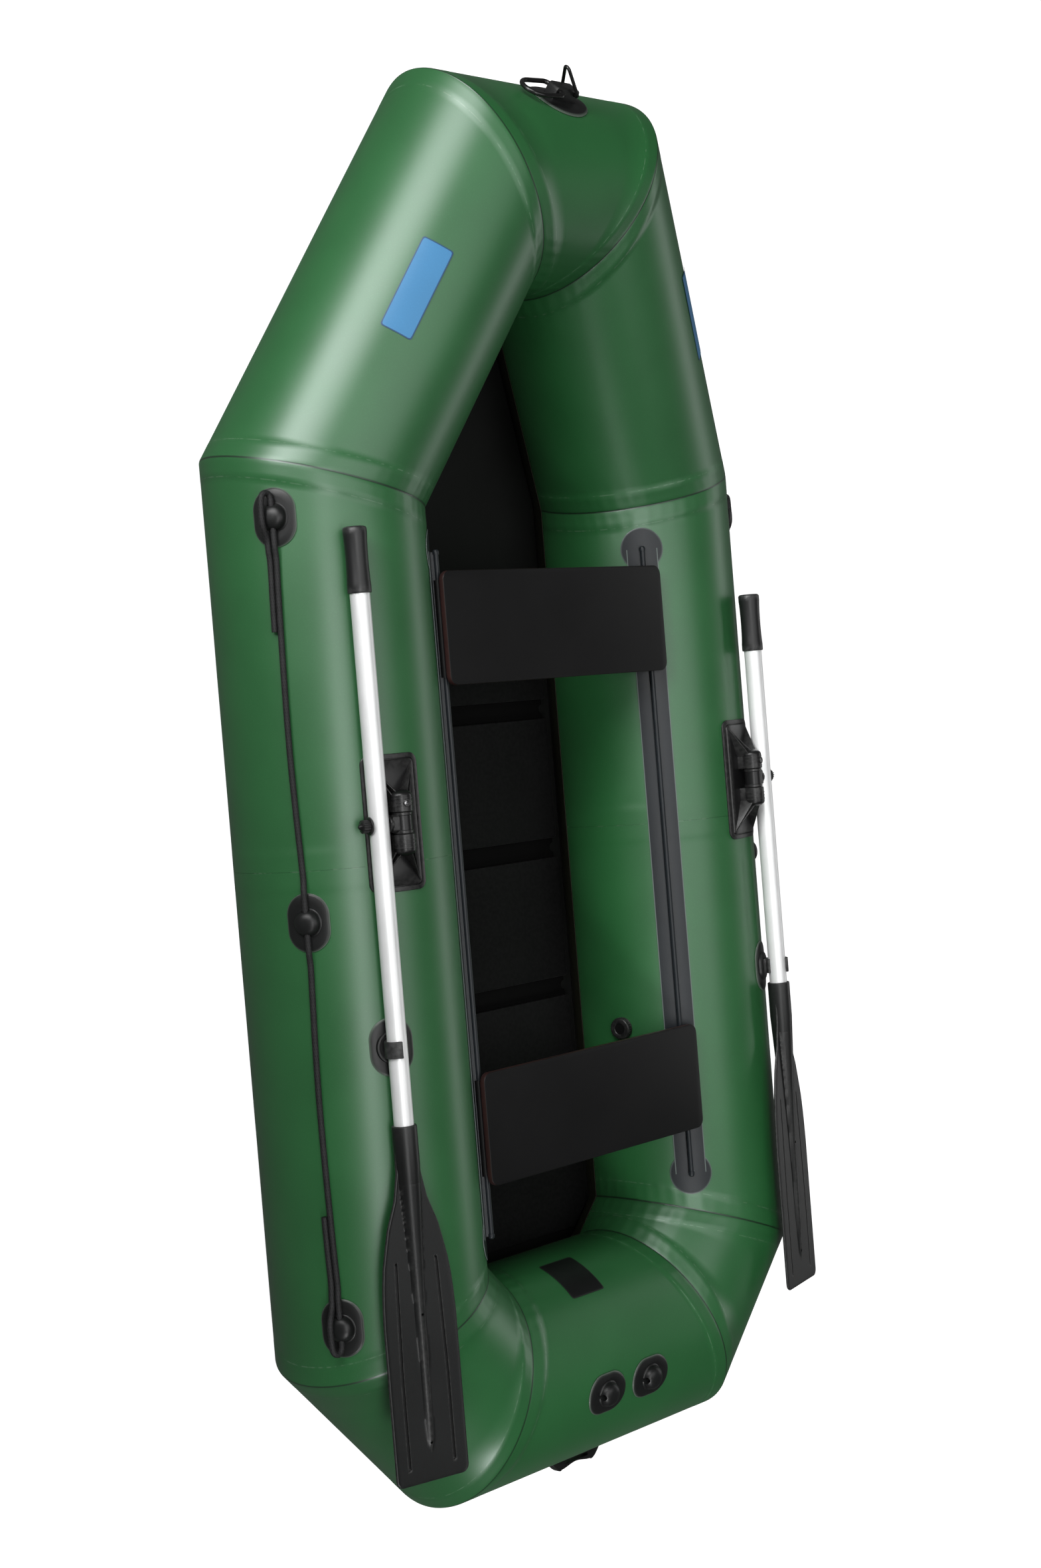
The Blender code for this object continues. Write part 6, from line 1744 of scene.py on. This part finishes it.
@dataclass
class Clip:
    """An oar clip: a glued pad with a round boss, and a springy hook round the shaft."""

    side: Side
    ahead: float = -0.270
    width: float = 0.068
    length: float = 0.088
    wall: float = 0.0025
    boss: float = 0.025
    boss_height: float = 0.0060
    hook_length: float = 0.025
    hook_wall: float = 0.0042
    sweep: float = 187.0
    short: float = 52.0

    def build(self) -> None:
        """Build the pad with its boss, and the hook."""
        reach = math.hypot(SHAFT_OFFSET, ROLL_AXIS_RADIUS)
        frame = side_frame(OARLOCK_ANGLE + math.degrees(math.atan2(SHAFT_OFFSET, ROLL_AXIS_RADIUS)), self.ahead)
        shape = Shape()
        outline = rounded_rectangle(self.width, self.length, self.width * 0.49, 16)
        # Marks of 1 on the pad's edge, falling to 0.5 on its shoulder, lay a painted highlight there in the pad's rim
        # colour.
        GluedPad(frame, points=160).layers(shape, [
            (outline, 0.0001, 1.0), (outline, 0.0009, 1.0),
            (shrink(outline, 0.0016), self.wall * 0.8, 0.5),
            (shrink(outline, 0.0034), self.wall, 0.0),
        ])
        top = TUBE_RADIUS + self.boss_height
        low = TUBE_RADIUS + CLEARANCE + self.wall / 2
        shape.lathe([(0.0, top), (self.boss - 0.0060, top), (self.boss - 0.0056, top - 0.0005),
                     (self.boss - 0.0048, top - 0.0005), (self.boss - 0.0044, top), (self.boss - 0.0026, top),
                     (self.boss - 0.0012, top - 0.0006), (self.boss - 0.0006, top - 0.0018), (self.boss, low),
                     (0.0, low)], frame, 72)
        name = "clip_pad_" + self.side.value
        publish(name + "_moulding", shape.done(name), [PAD_RUBBER], Carrier("hull", (name,), "pad_rubber", self.side))
        bore = SHAFT_RADIUS + CLEARANCE
        outer = bore + self.hook_wall
        foot = reach - top - CLEARANCE
        inboard = 270.0 - self.short
        outboard = 270.0 + self.sweep
        flare = 25.0
        outline = arc((0, 0), bore, outboard, inboard, 48) + arc((0, 0), outer, inboard, 270.0 - flare, 8)
        outline += [(-0.0082, -foot), (0.0121, -foot)] + arc((0, 0), outer, 270.0 + flare * 2.0, outboard, 34)
        hook = Shape()
        across = frame @ Matrix.Translation((0, 0, reach)) @ Matrix.Rotation(math.pi / 2, 4, "X")
        hook.prism(outline, -self.hook_length / 2, self.hook_length / 2, across, edge=0.0007, steps=2)
        name = "clip_hook_" + self.side.value
        publish(name + "_moulding", hook.done(name), [PAD_PLAIN], Carrier("hull", (name,), "pad_rubber", self.side))


@dataclass
class Eyelet:
    """A glued rope eyelet: a pad with a round boss that a rope passes through."""

    name: str
    frame: Matrix
    side: Side
    width: float = 0.067
    length: float = 0.088
    wall: float = 0.003
    dome: float = 0.020
    dome_height: float = 0.018
    hole: float = 0.0055
    hole_height: float = 0.0085

    def build(self) -> None:
        """Build the pad, the boss and the hole through it."""
        outline = rounded_rectangle(self.width, self.length, self.width * 0.49, 16)
        shape = Shape()
        # Marks of 1 on the pad's edge, falling to 0.15 on its shoulder, lay a painted highlight there in the pad's
        # rim colour.
        GluedPad(self.frame, points=160).layers(shape, [
            (outline, 0.0001, 1.0), (outline, 0.0010, 1.0),
            (shrink(outline, 0.0016), self.wall * 0.75, 0.15),
            (shrink(outline, 0.0036), self.wall, 0.0),
        ])
        base = TUBE_RADIUS + CLEARANCE + self.wall / 2
        rise = TUBE_RADIUS + self.dome_height - base
        profile = []
        for step in range(17):
            share = math.sin(math.radians(90 * step / 16))
            profile.append((self.dome * share, base + rise * max(0.0, 1 - share ** 2.6) ** (1 / 2.6)))
        profile[-1] = (self.dome, base + 0.0030)
        profile += [(self.dome + 0.0008, base + 0.0018), (self.dome + 0.0022, base + 0.0012),
                    (self.dome + 0.0022, base), (0.0, base)]
        boss = Shape()
        boss.lathe(profile, self.frame, 64)
        drill = Shape()
        spot = self.frame @ Matrix.Translation((0, 0, TUBE_RADIUS + self.hole_height)) @ ALONG_Y
        reach = 2 * self.dome
        drill.lathe([(0.0, reach), (self.hole, reach), (self.hole, -reach), (0.0, -reach)], spot, 32)
        shape.take_mesh(cut(boss.done("boss"), drill))
        publish(self.name + "_moulding", shape.done(self.name), [PAD_RUBBER],
                Carrier("hull", (self.name,), "pad_rubber", self.side))


@dataclass
class Lifeline:
    """A braided rope that runs through three eyelets and doubles back at both ends."""

    side: Side
    stations: Triple = (0.523, -0.076, -0.682)
    angle: float = LIFELINE_ANGLE
    radius: float = 0.0046
    end_route: tuple[Triple, ...] = (
        (-0.168, 0.0122, 0.0048), (-0.116, 0.0112, 0.0048), (-0.068, 0.0100, 0.0050), (-0.050, 0.0097, 0.0080),
        (-0.036, 0.0096, 0.0095), (-0.027, 0.0096, 0.0135), (-0.017, 0.0096, 0.0195), (-0.005, 0.0096, 0.0230),
        (0.018, 0.0093, 0.0226), (0.029, 0.0085, 0.0218), (0.0345, 0.0066, 0.0194), (0.0362, 0.0045, 0.0151),
        (0.0345, 0.0024, 0.0108), (0.029, 0.0008, 0.0088), (0.021, 0.0, 0.0085), (-0.030, 0.0, 0.0085),
        (-0.047, 0.0, 0.0081), (-0.064, 0.0003, 0.0050), (-0.110, 0.0016, 0.0048), (-0.165, 0.0028, 0.0048))
    slack_route: tuple[Triple, ...] = (
        (0.250, 0.0042, 0.0048), (0.335, 0.0048, 0.0048), (0.420, 0.0036, 0.0048), (0.500, 0.0014, 0.0048))
    middle_route: tuple[Triple, ...] = (
        (0.064, 0.0003, 0.0050), (0.047, 0.0, 0.0081), (0.030, 0.0, 0.0085), (-0.030, 0.0, 0.0085),
        (-0.047, 0.0, 0.0081), (-0.064, 0.0003, 0.0050))

    def route(self) -> list[Triple]:
        """List the rope's own points: along the boat, round the tube and over its surface.

        Returns:
            The points, from the forward tail to the aft one.
        """
        fore, middle, aft = self.stations
        made = [(fore + along, around, over) for along, around, over in self.end_route]
        made += [(fore - along, around, over) for along, around, over in self.slack_route]
        made += [(middle + along, around, over) for along, around, over in self.middle_route]
        made += [(aft + along, around, over) for along, around, over in reversed(self.slack_route)]
        return made + [(aft - along, around, over) for along, around, over in reversed(self.end_route)]

    def smooth(self, step: float) -> list[Vector]:
        """Give points on a smooth curve through the route, no further apart than a step.

        Args:
            step: the step.

        Returns:
            The curve's points.
        """
        points = [Vector(place) for place in self.route()]
        padded = [2 * points[0] - points[1]] + points + [2 * points[-1] - points[-2]]
        run = []
        for index in range(len(points) - 1):
            before, start, end, after = padded[index:index + 4]
            pieces = max(1, math.ceil((end - start).length / step))
            for piece in range(pieces):
                share = piece / pieces
                run.append(0.5 * (2 * start + (end - before) * share
                                  + (2 * before - 5 * start + 4 * end - after) * share ** 2
                                  + (3 * start - before - 3 * end + after) * share ** 3))
        return run + [points[-1]]

    def build(self) -> None:
        """Braid the rope along its route."""
        frame = side_frame(self.angle, 0.0)
        curve = bpy.data.curves.new("lifeline", "CURVE")
        curve.dimensions = "3D"
        spline = curve.splines.new("POLY")
        run = self.smooth(0.006)
        spline.points.add(len(run) - 1)
        for point, (along, around, over) in zip(spline.points, run):
            turn = around / TUBE_RADIUS
            reach = TUBE_RADIUS + over
            place = frame @ Vector((reach * math.sin(turn), along, reach * math.cos(turn)))
            point.co = (*place, 1.0)
        mesh = grow(curve, ROPE_TREE, {"Radius": self.radius, "Strands": 8, "Pitch": 0.020, "Relief": 0.00055,
                                       "Step": 0.0012, "Sides": 32, "Material": ROPE_BLACK.make()})
        name = "lifeline_" + self.side.value
        publish(name + "_braid", mesh, [ROPE_BLACK], Carrier("hull", (name,), "black_rope", self.side, 60.0))


@dataclass
class ValveCap:
    """A valve's ribbed screw cap."""

    name: str
    ahead: float
    side: Side
    radius: float = 0.019
    height: float = 0.0105
    wall: float = 0.002
    well: float = 0.0125

    def frame(self) -> Matrix:
        """Give the starboard frame on the tube's axis behind the valve."""
        return side_frame(-79.0, self.ahead)

    def hull_frame(self) -> Matrix:
        """Give the frame on the boat's own side."""
        return FLIP_X @ self.frame() if self.side is Side.PORT else self.frame()

    def build(self) -> None:
        """Build the cap with its ribs."""
        low = TUBE_RADIUS + 0.0005
        top = low + self.height
        core = self.radius - 0.0010
        shape = Shape()
        shape.lathe([(0.0, top - 0.0009), (0.0092, top - 0.0009), (0.0098, top - 0.0003), (0.0104, top),
                     (core - 0.0024, top), (core - 0.0009, top - 0.0006), (core, top - 0.0020), (core, low + 0.0026),
                     (self.radius, low + 0.0022), (self.radius, low), (self.well, low),
                     (self.well, top - self.wall), (0.0, top - self.wall)], self.frame(), 72)
        ribs(shape, self.frame(), BLACK_PLASTIC, Count=28, Radius=core, Wide=0.0017, Deep=0.0018,
             Tall=self.height - 0.0046, Lift=(low + top) / 2 + 0.0004)
        name = "valve_cap_" + self.name
        publish(name + "_moulding", shape.done(name), [BLACK_PLASTIC],
                Carrier("cap_" + self.name, (name,), "black_plastic", self.side))


@dataclass
class BowFitting:
    """The bow patch with its drilled block, and the round and the triangular ring in it."""

    angle: float = -48.1
    depth: float = 0.088
    width: float = 0.112
    wall: float = 0.003
    block_length: float = 0.052
    block_width: float = 0.024
    block_height: float = 0.024
    hole_x: float = 0.0170
    hole_height: float = 0.0160
    round_rod: float = 0.00375
    triangle_rod: float = 0.00275

    def frame(self) -> Matrix:
        """Give the frame on the bow tube's axis behind the patch."""
        return cross_frame(BOW_CENTRE, self.angle, 0.0)

    def ring(self, name: str, loop: list[Flat], wire: float, hand: int, lift: float) -> None:
        """Bend a ring's loop and hang it in its hole.

        Args:
            name: the ring's side.
            loop: the loop in the ring's own plane.
            wire: the rod's radius.
            hand: -1 for the port hole, 1 for the starboard one.
            lift: degrees that it stands off the patch.
        """
        hinge = self.frame() @ Matrix.Translation((0, hand * self.hole_x, BOW_RADIUS + self.hole_height))
        lean = math.radians(lift)
        points = [hinge @ Vector((x, -reach * math.cos(lean), reach * math.sin(lean))) for x, reach in loop]
        shape = Shape()
        shape.tube(points, wire, 24, ring=True)
        publish("bow_ring_" + name + "_rod", shape.done("ring"), [RING_PLASTIC],
                Carrier("ring_" + name, ("bow_ring_" + name,), "black_plastic"))

    def build(self) -> None:
        """Build the patch, the block and both rings."""
        frame = self.frame()
        shape = Shape()
        outline = oval(self.depth, self.width, 96)
        # Marks of 1 on the patch's edge, falling to 0.5 on its shoulder, lay a painted highlight there in the pad's
        # rim colour.
        GluedPad(frame, BOW_RADIUS, 120).layers(shape, [
            (outline, 0.0001, 1.0), (outline, 0.0010, 1.0),
            (shrink(outline, 0.0018), self.wall * 0.75, 0.5),
            (shrink(outline, 0.0040), self.wall, 0.0),
        ])
        foot = BOW_RADIUS + CLEARANCE + self.wall / 3
        top = BOW_RADIUS + self.block_height
        half = self.block_length / 2
        profile = [(-half, foot), (half, foot), (half, top - 0.006), (half - 0.0015, top - 0.0022),
                   (half - 0.005, top), (0.005 - half, top), (0.0015 - half, top - 0.0022), (-half, top - 0.006)]
        upright = axes((0.0, 1.0, 0.0), (0.0, 0.0, 1.0), (1.0, 0.0, 0.0))
        block = Shape()
        block.prism(profile, -self.block_width / 2, self.block_width / 2, frame @ upright, edge=0.0012, steps=3)
        drill = Shape()
        for hand, wire in ((-1, self.round_rod), (1, self.triangle_rod)):
            spot = frame @ Matrix.Translation((0, hand * self.hole_x, BOW_RADIUS + self.hole_height)) @ ALONG_X
            reach = self.block_width
            drill.lathe([(0.0, reach), (wire + 0.0005, reach), (wire + 0.0005, -reach), (0.0, -reach)], spot, 28)
        shape.take_mesh(cut(block.done("block"), drill))
        publish("bow_bracket_moulding", shape.done("bow_bracket"), [PAD_RUBBER],
                Carrier("hull", ("bow_bracket",), "pad_rubber"))
        bend = 0.0095
        half = 0.024
        loop = arc((half - bend, bend), bend, -90, 0, 12) + arc((0.0, 0.066 - half), half, 0, 180, 40)
        self.ring("left", loop + arc((bend - half, bend), bend, 180, 270, 12), self.round_rod, -1, -5.0)
        half = 0.019
        bend = 0.005
        loop = arc((half - bend, bend), bend, -90, 25, 10) + arc((0.0, 0.049 - 0.006), 0.006, 25, 155, 14)
        self.ring("right", loop + arc((bend - half, bend), bend, 155, 270, 10), self.triangle_rod, 1, 50.0)


@dataclass
class SternHandle:
    """The moulded carrying handle on the aft face."""

    rise: float = 0.030
    half: float = 0.058
    height: float = 0.013
    foot_height: float = 0.025
    lobe_x: float = 0.036
    lobe: float = 0.0152
    edge: float = 0.0016
    waist: float = 0.0100
    slot_half: float = 0.029
    slot: float = 0.0052
    slot_lift: float = 0.0022

    def build(self) -> None:
        """Build the lobed bar, its slot and its foot on the tube."""
        frame = axes((1.0, 0.0, 0.0), (0.0, -1.0, 0.0), (0.0, 0.0, -1.0),
                     (0.0, STERN_CENTRE[0], STERN_CENTRE[1] + self.rise))
        foot = math.sqrt(TUBE_RADIUS ** 2 - (self.rise - self.foot_height / 2) ** 2)
        crest = []
        for index in range(57):
            across = self.half * (2 * index / 56 - 1)
            reach = abs(across)
            if reach < self.lobe_x:
                share = 0.5 - 0.5 * math.cos(math.pi * reach / self.lobe_x)
                height = self.waist + (self.lobe - self.waist) * share
            else:
                share = (reach - self.lobe_x) / (self.half - self.lobe_x)
                height = self.lobe * math.cos(math.pi / 2 * share) + self.edge
            crest.append((across, foot + height))
        base = foot - self.lobe
        bar = Shape()
        bar.prism([(self.half, base), (-self.half, base)] + crest, -self.height / 2, self.height / 2, frame,
                  edge=0.0022, steps=4)
        slot = Shape()
        slot.prism(rounded_rectangle(2 * self.slot_half, self.slot, 0.0025, 8), -self.height, self.height,
                   frame @ Matrix.Translation((0, foot + self.slot_lift + self.slot / 2, 0)))
        mesh = cut(bar.done("bar"), slot)
        tube = Shape()
        reach = 2 * self.half
        radius = TUBE_RADIUS + CLEARANCE
        tube.lathe([(0.0, reach), (radius, reach), (radius, -reach), (0.0, -reach)],
                   Matrix.Translation((0.0, *STERN_CENTRE)) @ ALONG_X, 192)
        handle = Shape()
        handle.mesh.from_mesh(cut(mesh, tube))
        publish("stern_handle_moulding", handle.done("handle"), [BLACK_PLASTIC],
                Carrier("hull", ("stern_handle",), "black_plastic"))


@dataclass
class Badge:
    """A plain printed patch on the fabric."""

    name: str
    frame: Matrix
    width: float
    length: float
    finish: Finish
    radius: float = TUBE_RADIUS
    side: Side = Side.STARBOARD

    def build(self) -> None:
        """Build the patch as a thin sheet with a border."""
        outline = rounded_rectangle(self.width, self.length, 0.004, 6)
        shape = Shape()
        GluedPad(self.frame, self.radius, 240).layers(shape, [
            (outline, 0.00005, 1.0), (outline, 0.0003, 1.0),
            (shrink(outline, 0.0016), 0.0004, 1.0), (shrink(outline, 0.0020), 0.0004, 0.0),
        ])
        publish(self.name, shape.done(self.name), [self.finish], Carrier("hull", side=self.side))


def run_frame(start: Vector, end: Vector, along: float, outward: Vector) -> Matrix:
    """Stand on a slanting tube's axis and look out of it.

    Args:
        start: the run's first axis point.
        end: its last axis point.
        along: metres from the first point.
        outward: roughly where the frame looks.

    Returns:
        A frame with Y along the tube and Z out of it.
    """
    run = (end - start).normalized()
    out = (outward - outward.dot(run) * run).normalized()
    return axes(run.cross(out), run, out, start + along * run)


# Studio


@dataclass
class Studio:
    """A white floor, soft lights and the camera."""

    camera_place: Triple = (-2.8776, 0.1491, 2.9542)
    right: Triple = (0.68661, -0.08082, 0.72252)
    down: Triple = (-0.08109, -0.99611, -0.03436)
    forward: Triple = (0.72249, -0.03500, -0.69049)
    focal_px: float = 3647.90
    height_px: int = 2361
    sensor: float = 36.0
    floor_half: float = 14.0
    floor_drop: float = 0.0004
    floor_tones: Flat = (0.09, 0.30)
    floor_mirrored: float = 0.05
    floor_glow: float = 0.94
    sky: float = 0.04

    def build_floor(self) -> None:
        """Lay a white floor that keeps the boat's shadow."""
        mesh = bpy.data.meshes.new("studio_floor")
        level = CAD_BOX[0][2] - self.floor_drop
        signs = ((-1, -1), (1, -1), (1, 1), (-1, 1))
        mesh.from_pydata([(x * self.floor_half, y * self.floor_half, level) for x, y in signs], [], [(0, 1, 2, 3)])
        material = bpy.data.materials.new("studio_floor")
        material.use_nodes = True
        graph = Graph(material.node_tree)
        path = graph.add("ShaderNodeLightPath").outputs
        mirrored = graph.math("MAXIMUM", path["Is Glossy Ray"], path["Is Transmission Ray"])
        seen = graph.math("MAXIMUM", path["Is Camera Ray"], graph.math("MULTIPLY", mirrored, self.floor_mirrored))
        tones = [opaque((tone,) * 3) for tone in self.floor_tones]
        graph.fill(material.node_tree.nodes["Principled BSDF"], {
            "Base Color": graph.mix(seen, *tones),
            "Roughness": 0.9,
            "Specular IOR Level": 0.0,
            "Emission Color": opaque((1.0,) * 3),
            "Emission Strength": graph.math("MULTIPLY", seen, self.floor_glow),
        })
        mesh.materials.append(material)
        floor = add_object("studio_floor", mesh)

    def add_light(self, name: str, place: Vector, aim: Vector, size: Flat, power: float,
                  spread: float = 180.0) -> None:
        """Hang a soft rectangular light.

        Args:
            name: the light's name.
            place: where it hangs.
            aim: what it shines at.
            size: its width and height.
            power: its power in watts.
            spread: the angle in degrees that its light fills.
        """
        light = bpy.data.lights.new(name, "AREA")
        light.spread = math.radians(spread)
        light.shape = "RECTANGLE"
        light.size, light.size_y = size
        light.energy = power
        holder = add_object(name, light)
        holder.location = place
        holder.rotation_euler = (aim - place).to_track_quat("-Z", "Y").to_euler()

    def build_lights(self) -> None:
        """Hang the key, a key and fills for the bow and stern, a top and a rim light, and an even sky."""
        middle = Vector((0.0, 0.0, 0.2))
        self.add_light("key", Vector((-3.0, -0.7, 4.2)), Vector((0.0, -0.6, 0.3)), (3.2, 0.9), 61.0)
        self.add_light("bow_key", Vector((-2.7, 2.8, 1.9)), Vector((-0.2, 0.85, 0.3)), (2.6, 2.6), 21.0, 62.0)
        self.add_light("bow_fill", Vector((-3.4, 2.3, 0.9)), Vector((-0.3, 0.95, 0.3)), (1.6, 1.0), 4.5, 40.0)
        self.add_light("stern_fill", Vector((-1.6, -3.2, 2.2)), Vector((0.0, -1.15, 0.2)), (1.4, 1.2), 3.2, 28.0)
        self.add_light("top", Vector((-0.6, 0.3, 4.6)), middle, (2.6, 4.4), 60.0)
        self.add_light("rim", Vector((4.6, 0.0, 1.9)), middle, (4.0, 0.8), 26.0)
        world = bpy.data.worlds.new("studio_sky")
        world.use_nodes = True
        graph = Graph(world.node_tree)
        camera_ray = graph.add("ShaderNodeLightPath").outputs["Is Camera Ray"]
        graph.fill(world.node_tree.nodes["Background"], {
            "Color": opaque((1.0,) * 3),
            "Strength": graph.math("MULTIPLY_ADD", camera_ray, 1.0 - self.sky, self.sky),
        })
        bpy.context.scene.world = world

    def build_camera(self) -> None:
        """Set the camera as the photograph was taken."""
        camera = bpy.data.cameras.new("camera")
        camera.sensor_fit = "VERTICAL"
        camera.sensor_height = self.sensor
        camera.lens = self.focal_px * self.sensor / self.height_px
        camera.clip_start = 0.1
        camera.clip_end = 60.0
        holder = add_object("camera", camera)
        down, forward = Vector(self.down), Vector(self.forward)
        holder.matrix_world = axes(self.right, -down, -forward, self.camera_place)
        bpy.context.scene.camera = holder
        bpy.context.scene.view_settings.view_transform = "Standard"

    def build(self) -> None:
        """Build the floor, the lights and the camera."""
        self.build_floor()
        self.build_lights()
        self.build_camera()


def dress_frame() -> None:
    """Give the CAD nodes that stay in view their finished materials."""
    finishes = {"seat_channel": BLACK_PLASTIC, "valve_body": BLACK_PLASTIC, "valve_plunger": BLACK_PLASTIC,
                "valve_spring": STEEL, "oarlock_axle": STEEL, "bulkhead": HULL_GREEN}
    for name, node in frame["nodes"].items():
        for start, finish in finishes.items():
            if name.startswith(start):
                node.data.materials.clear()
                node.data.materials.append(finish.make())
                node.data.set_sharp_from_angle(angle=math.radians(35.0))


def build_badges() -> None:
    """Lay the plain patches on the bow tubes and inside the stern."""
    corners = TubeLoop(True).corners()
    start, end = corners[1][0], corners[2][0]
    for side in Side:
        place = run_frame(start, end, 0.303, Vector((0.539, 0.065, 0.84)))
        Badge("bow_patch_" + side.value, place, 0.052, 0.152, PLATE_BLUE, 0.1688, side).build()
    Badge("stern_patch", cross_frame(STERN_CENTRE, -58.5, -0.029), 0.085, 0.076, PLATE_DARK).build()


def main() -> None:
    """Build every sub-assembly in order."""
    dress_frame()
    valve_bow = ValveCap("bow", 0.300, Side.PORT)
    valve_stern = ValveCap("stern", -0.347, Side.STARBOARD)
    AirChamber("bow_chamber", TubeLoop(True), valve_bow.hull_frame()).build()
    AirChamber("stern_chamber", TubeLoop(False), valve_stern.hull_frame()).build()
    Bottom().build()
    Floor().build()
    Seat("front", 0.3455).build()
    Seat("rear", -0.4305).build()
    oars = {Side.PORT: (0.499, -0.383), Side.STARBOARD: (0.377, -0.300)}
    for side in Side:
        SeatRail(side).build()
        Oarlock(side).build()
        Oar(side, *oars[side]).build()
        Clip(side).build()
        for order, station in enumerate(Lifeline.stations):
            name = "line_eyelet_" + side.value + "_" + str(order + 1)
            Eyelet(name, side_frame(LIFELINE_ANGLE, station), side).build()
        Eyelet("stern_eyelet_" + side.value, cross_frame(STERN_CENTRE, 11.0, 0.053), side).build()
        Lifeline(side).build()
    valve_bow.build()
    valve_stern.build()
    BowFitting().build()
    SternHandle().build()
    build_badges()
    Studio().build()


if __name__ == "__main__":
    main()
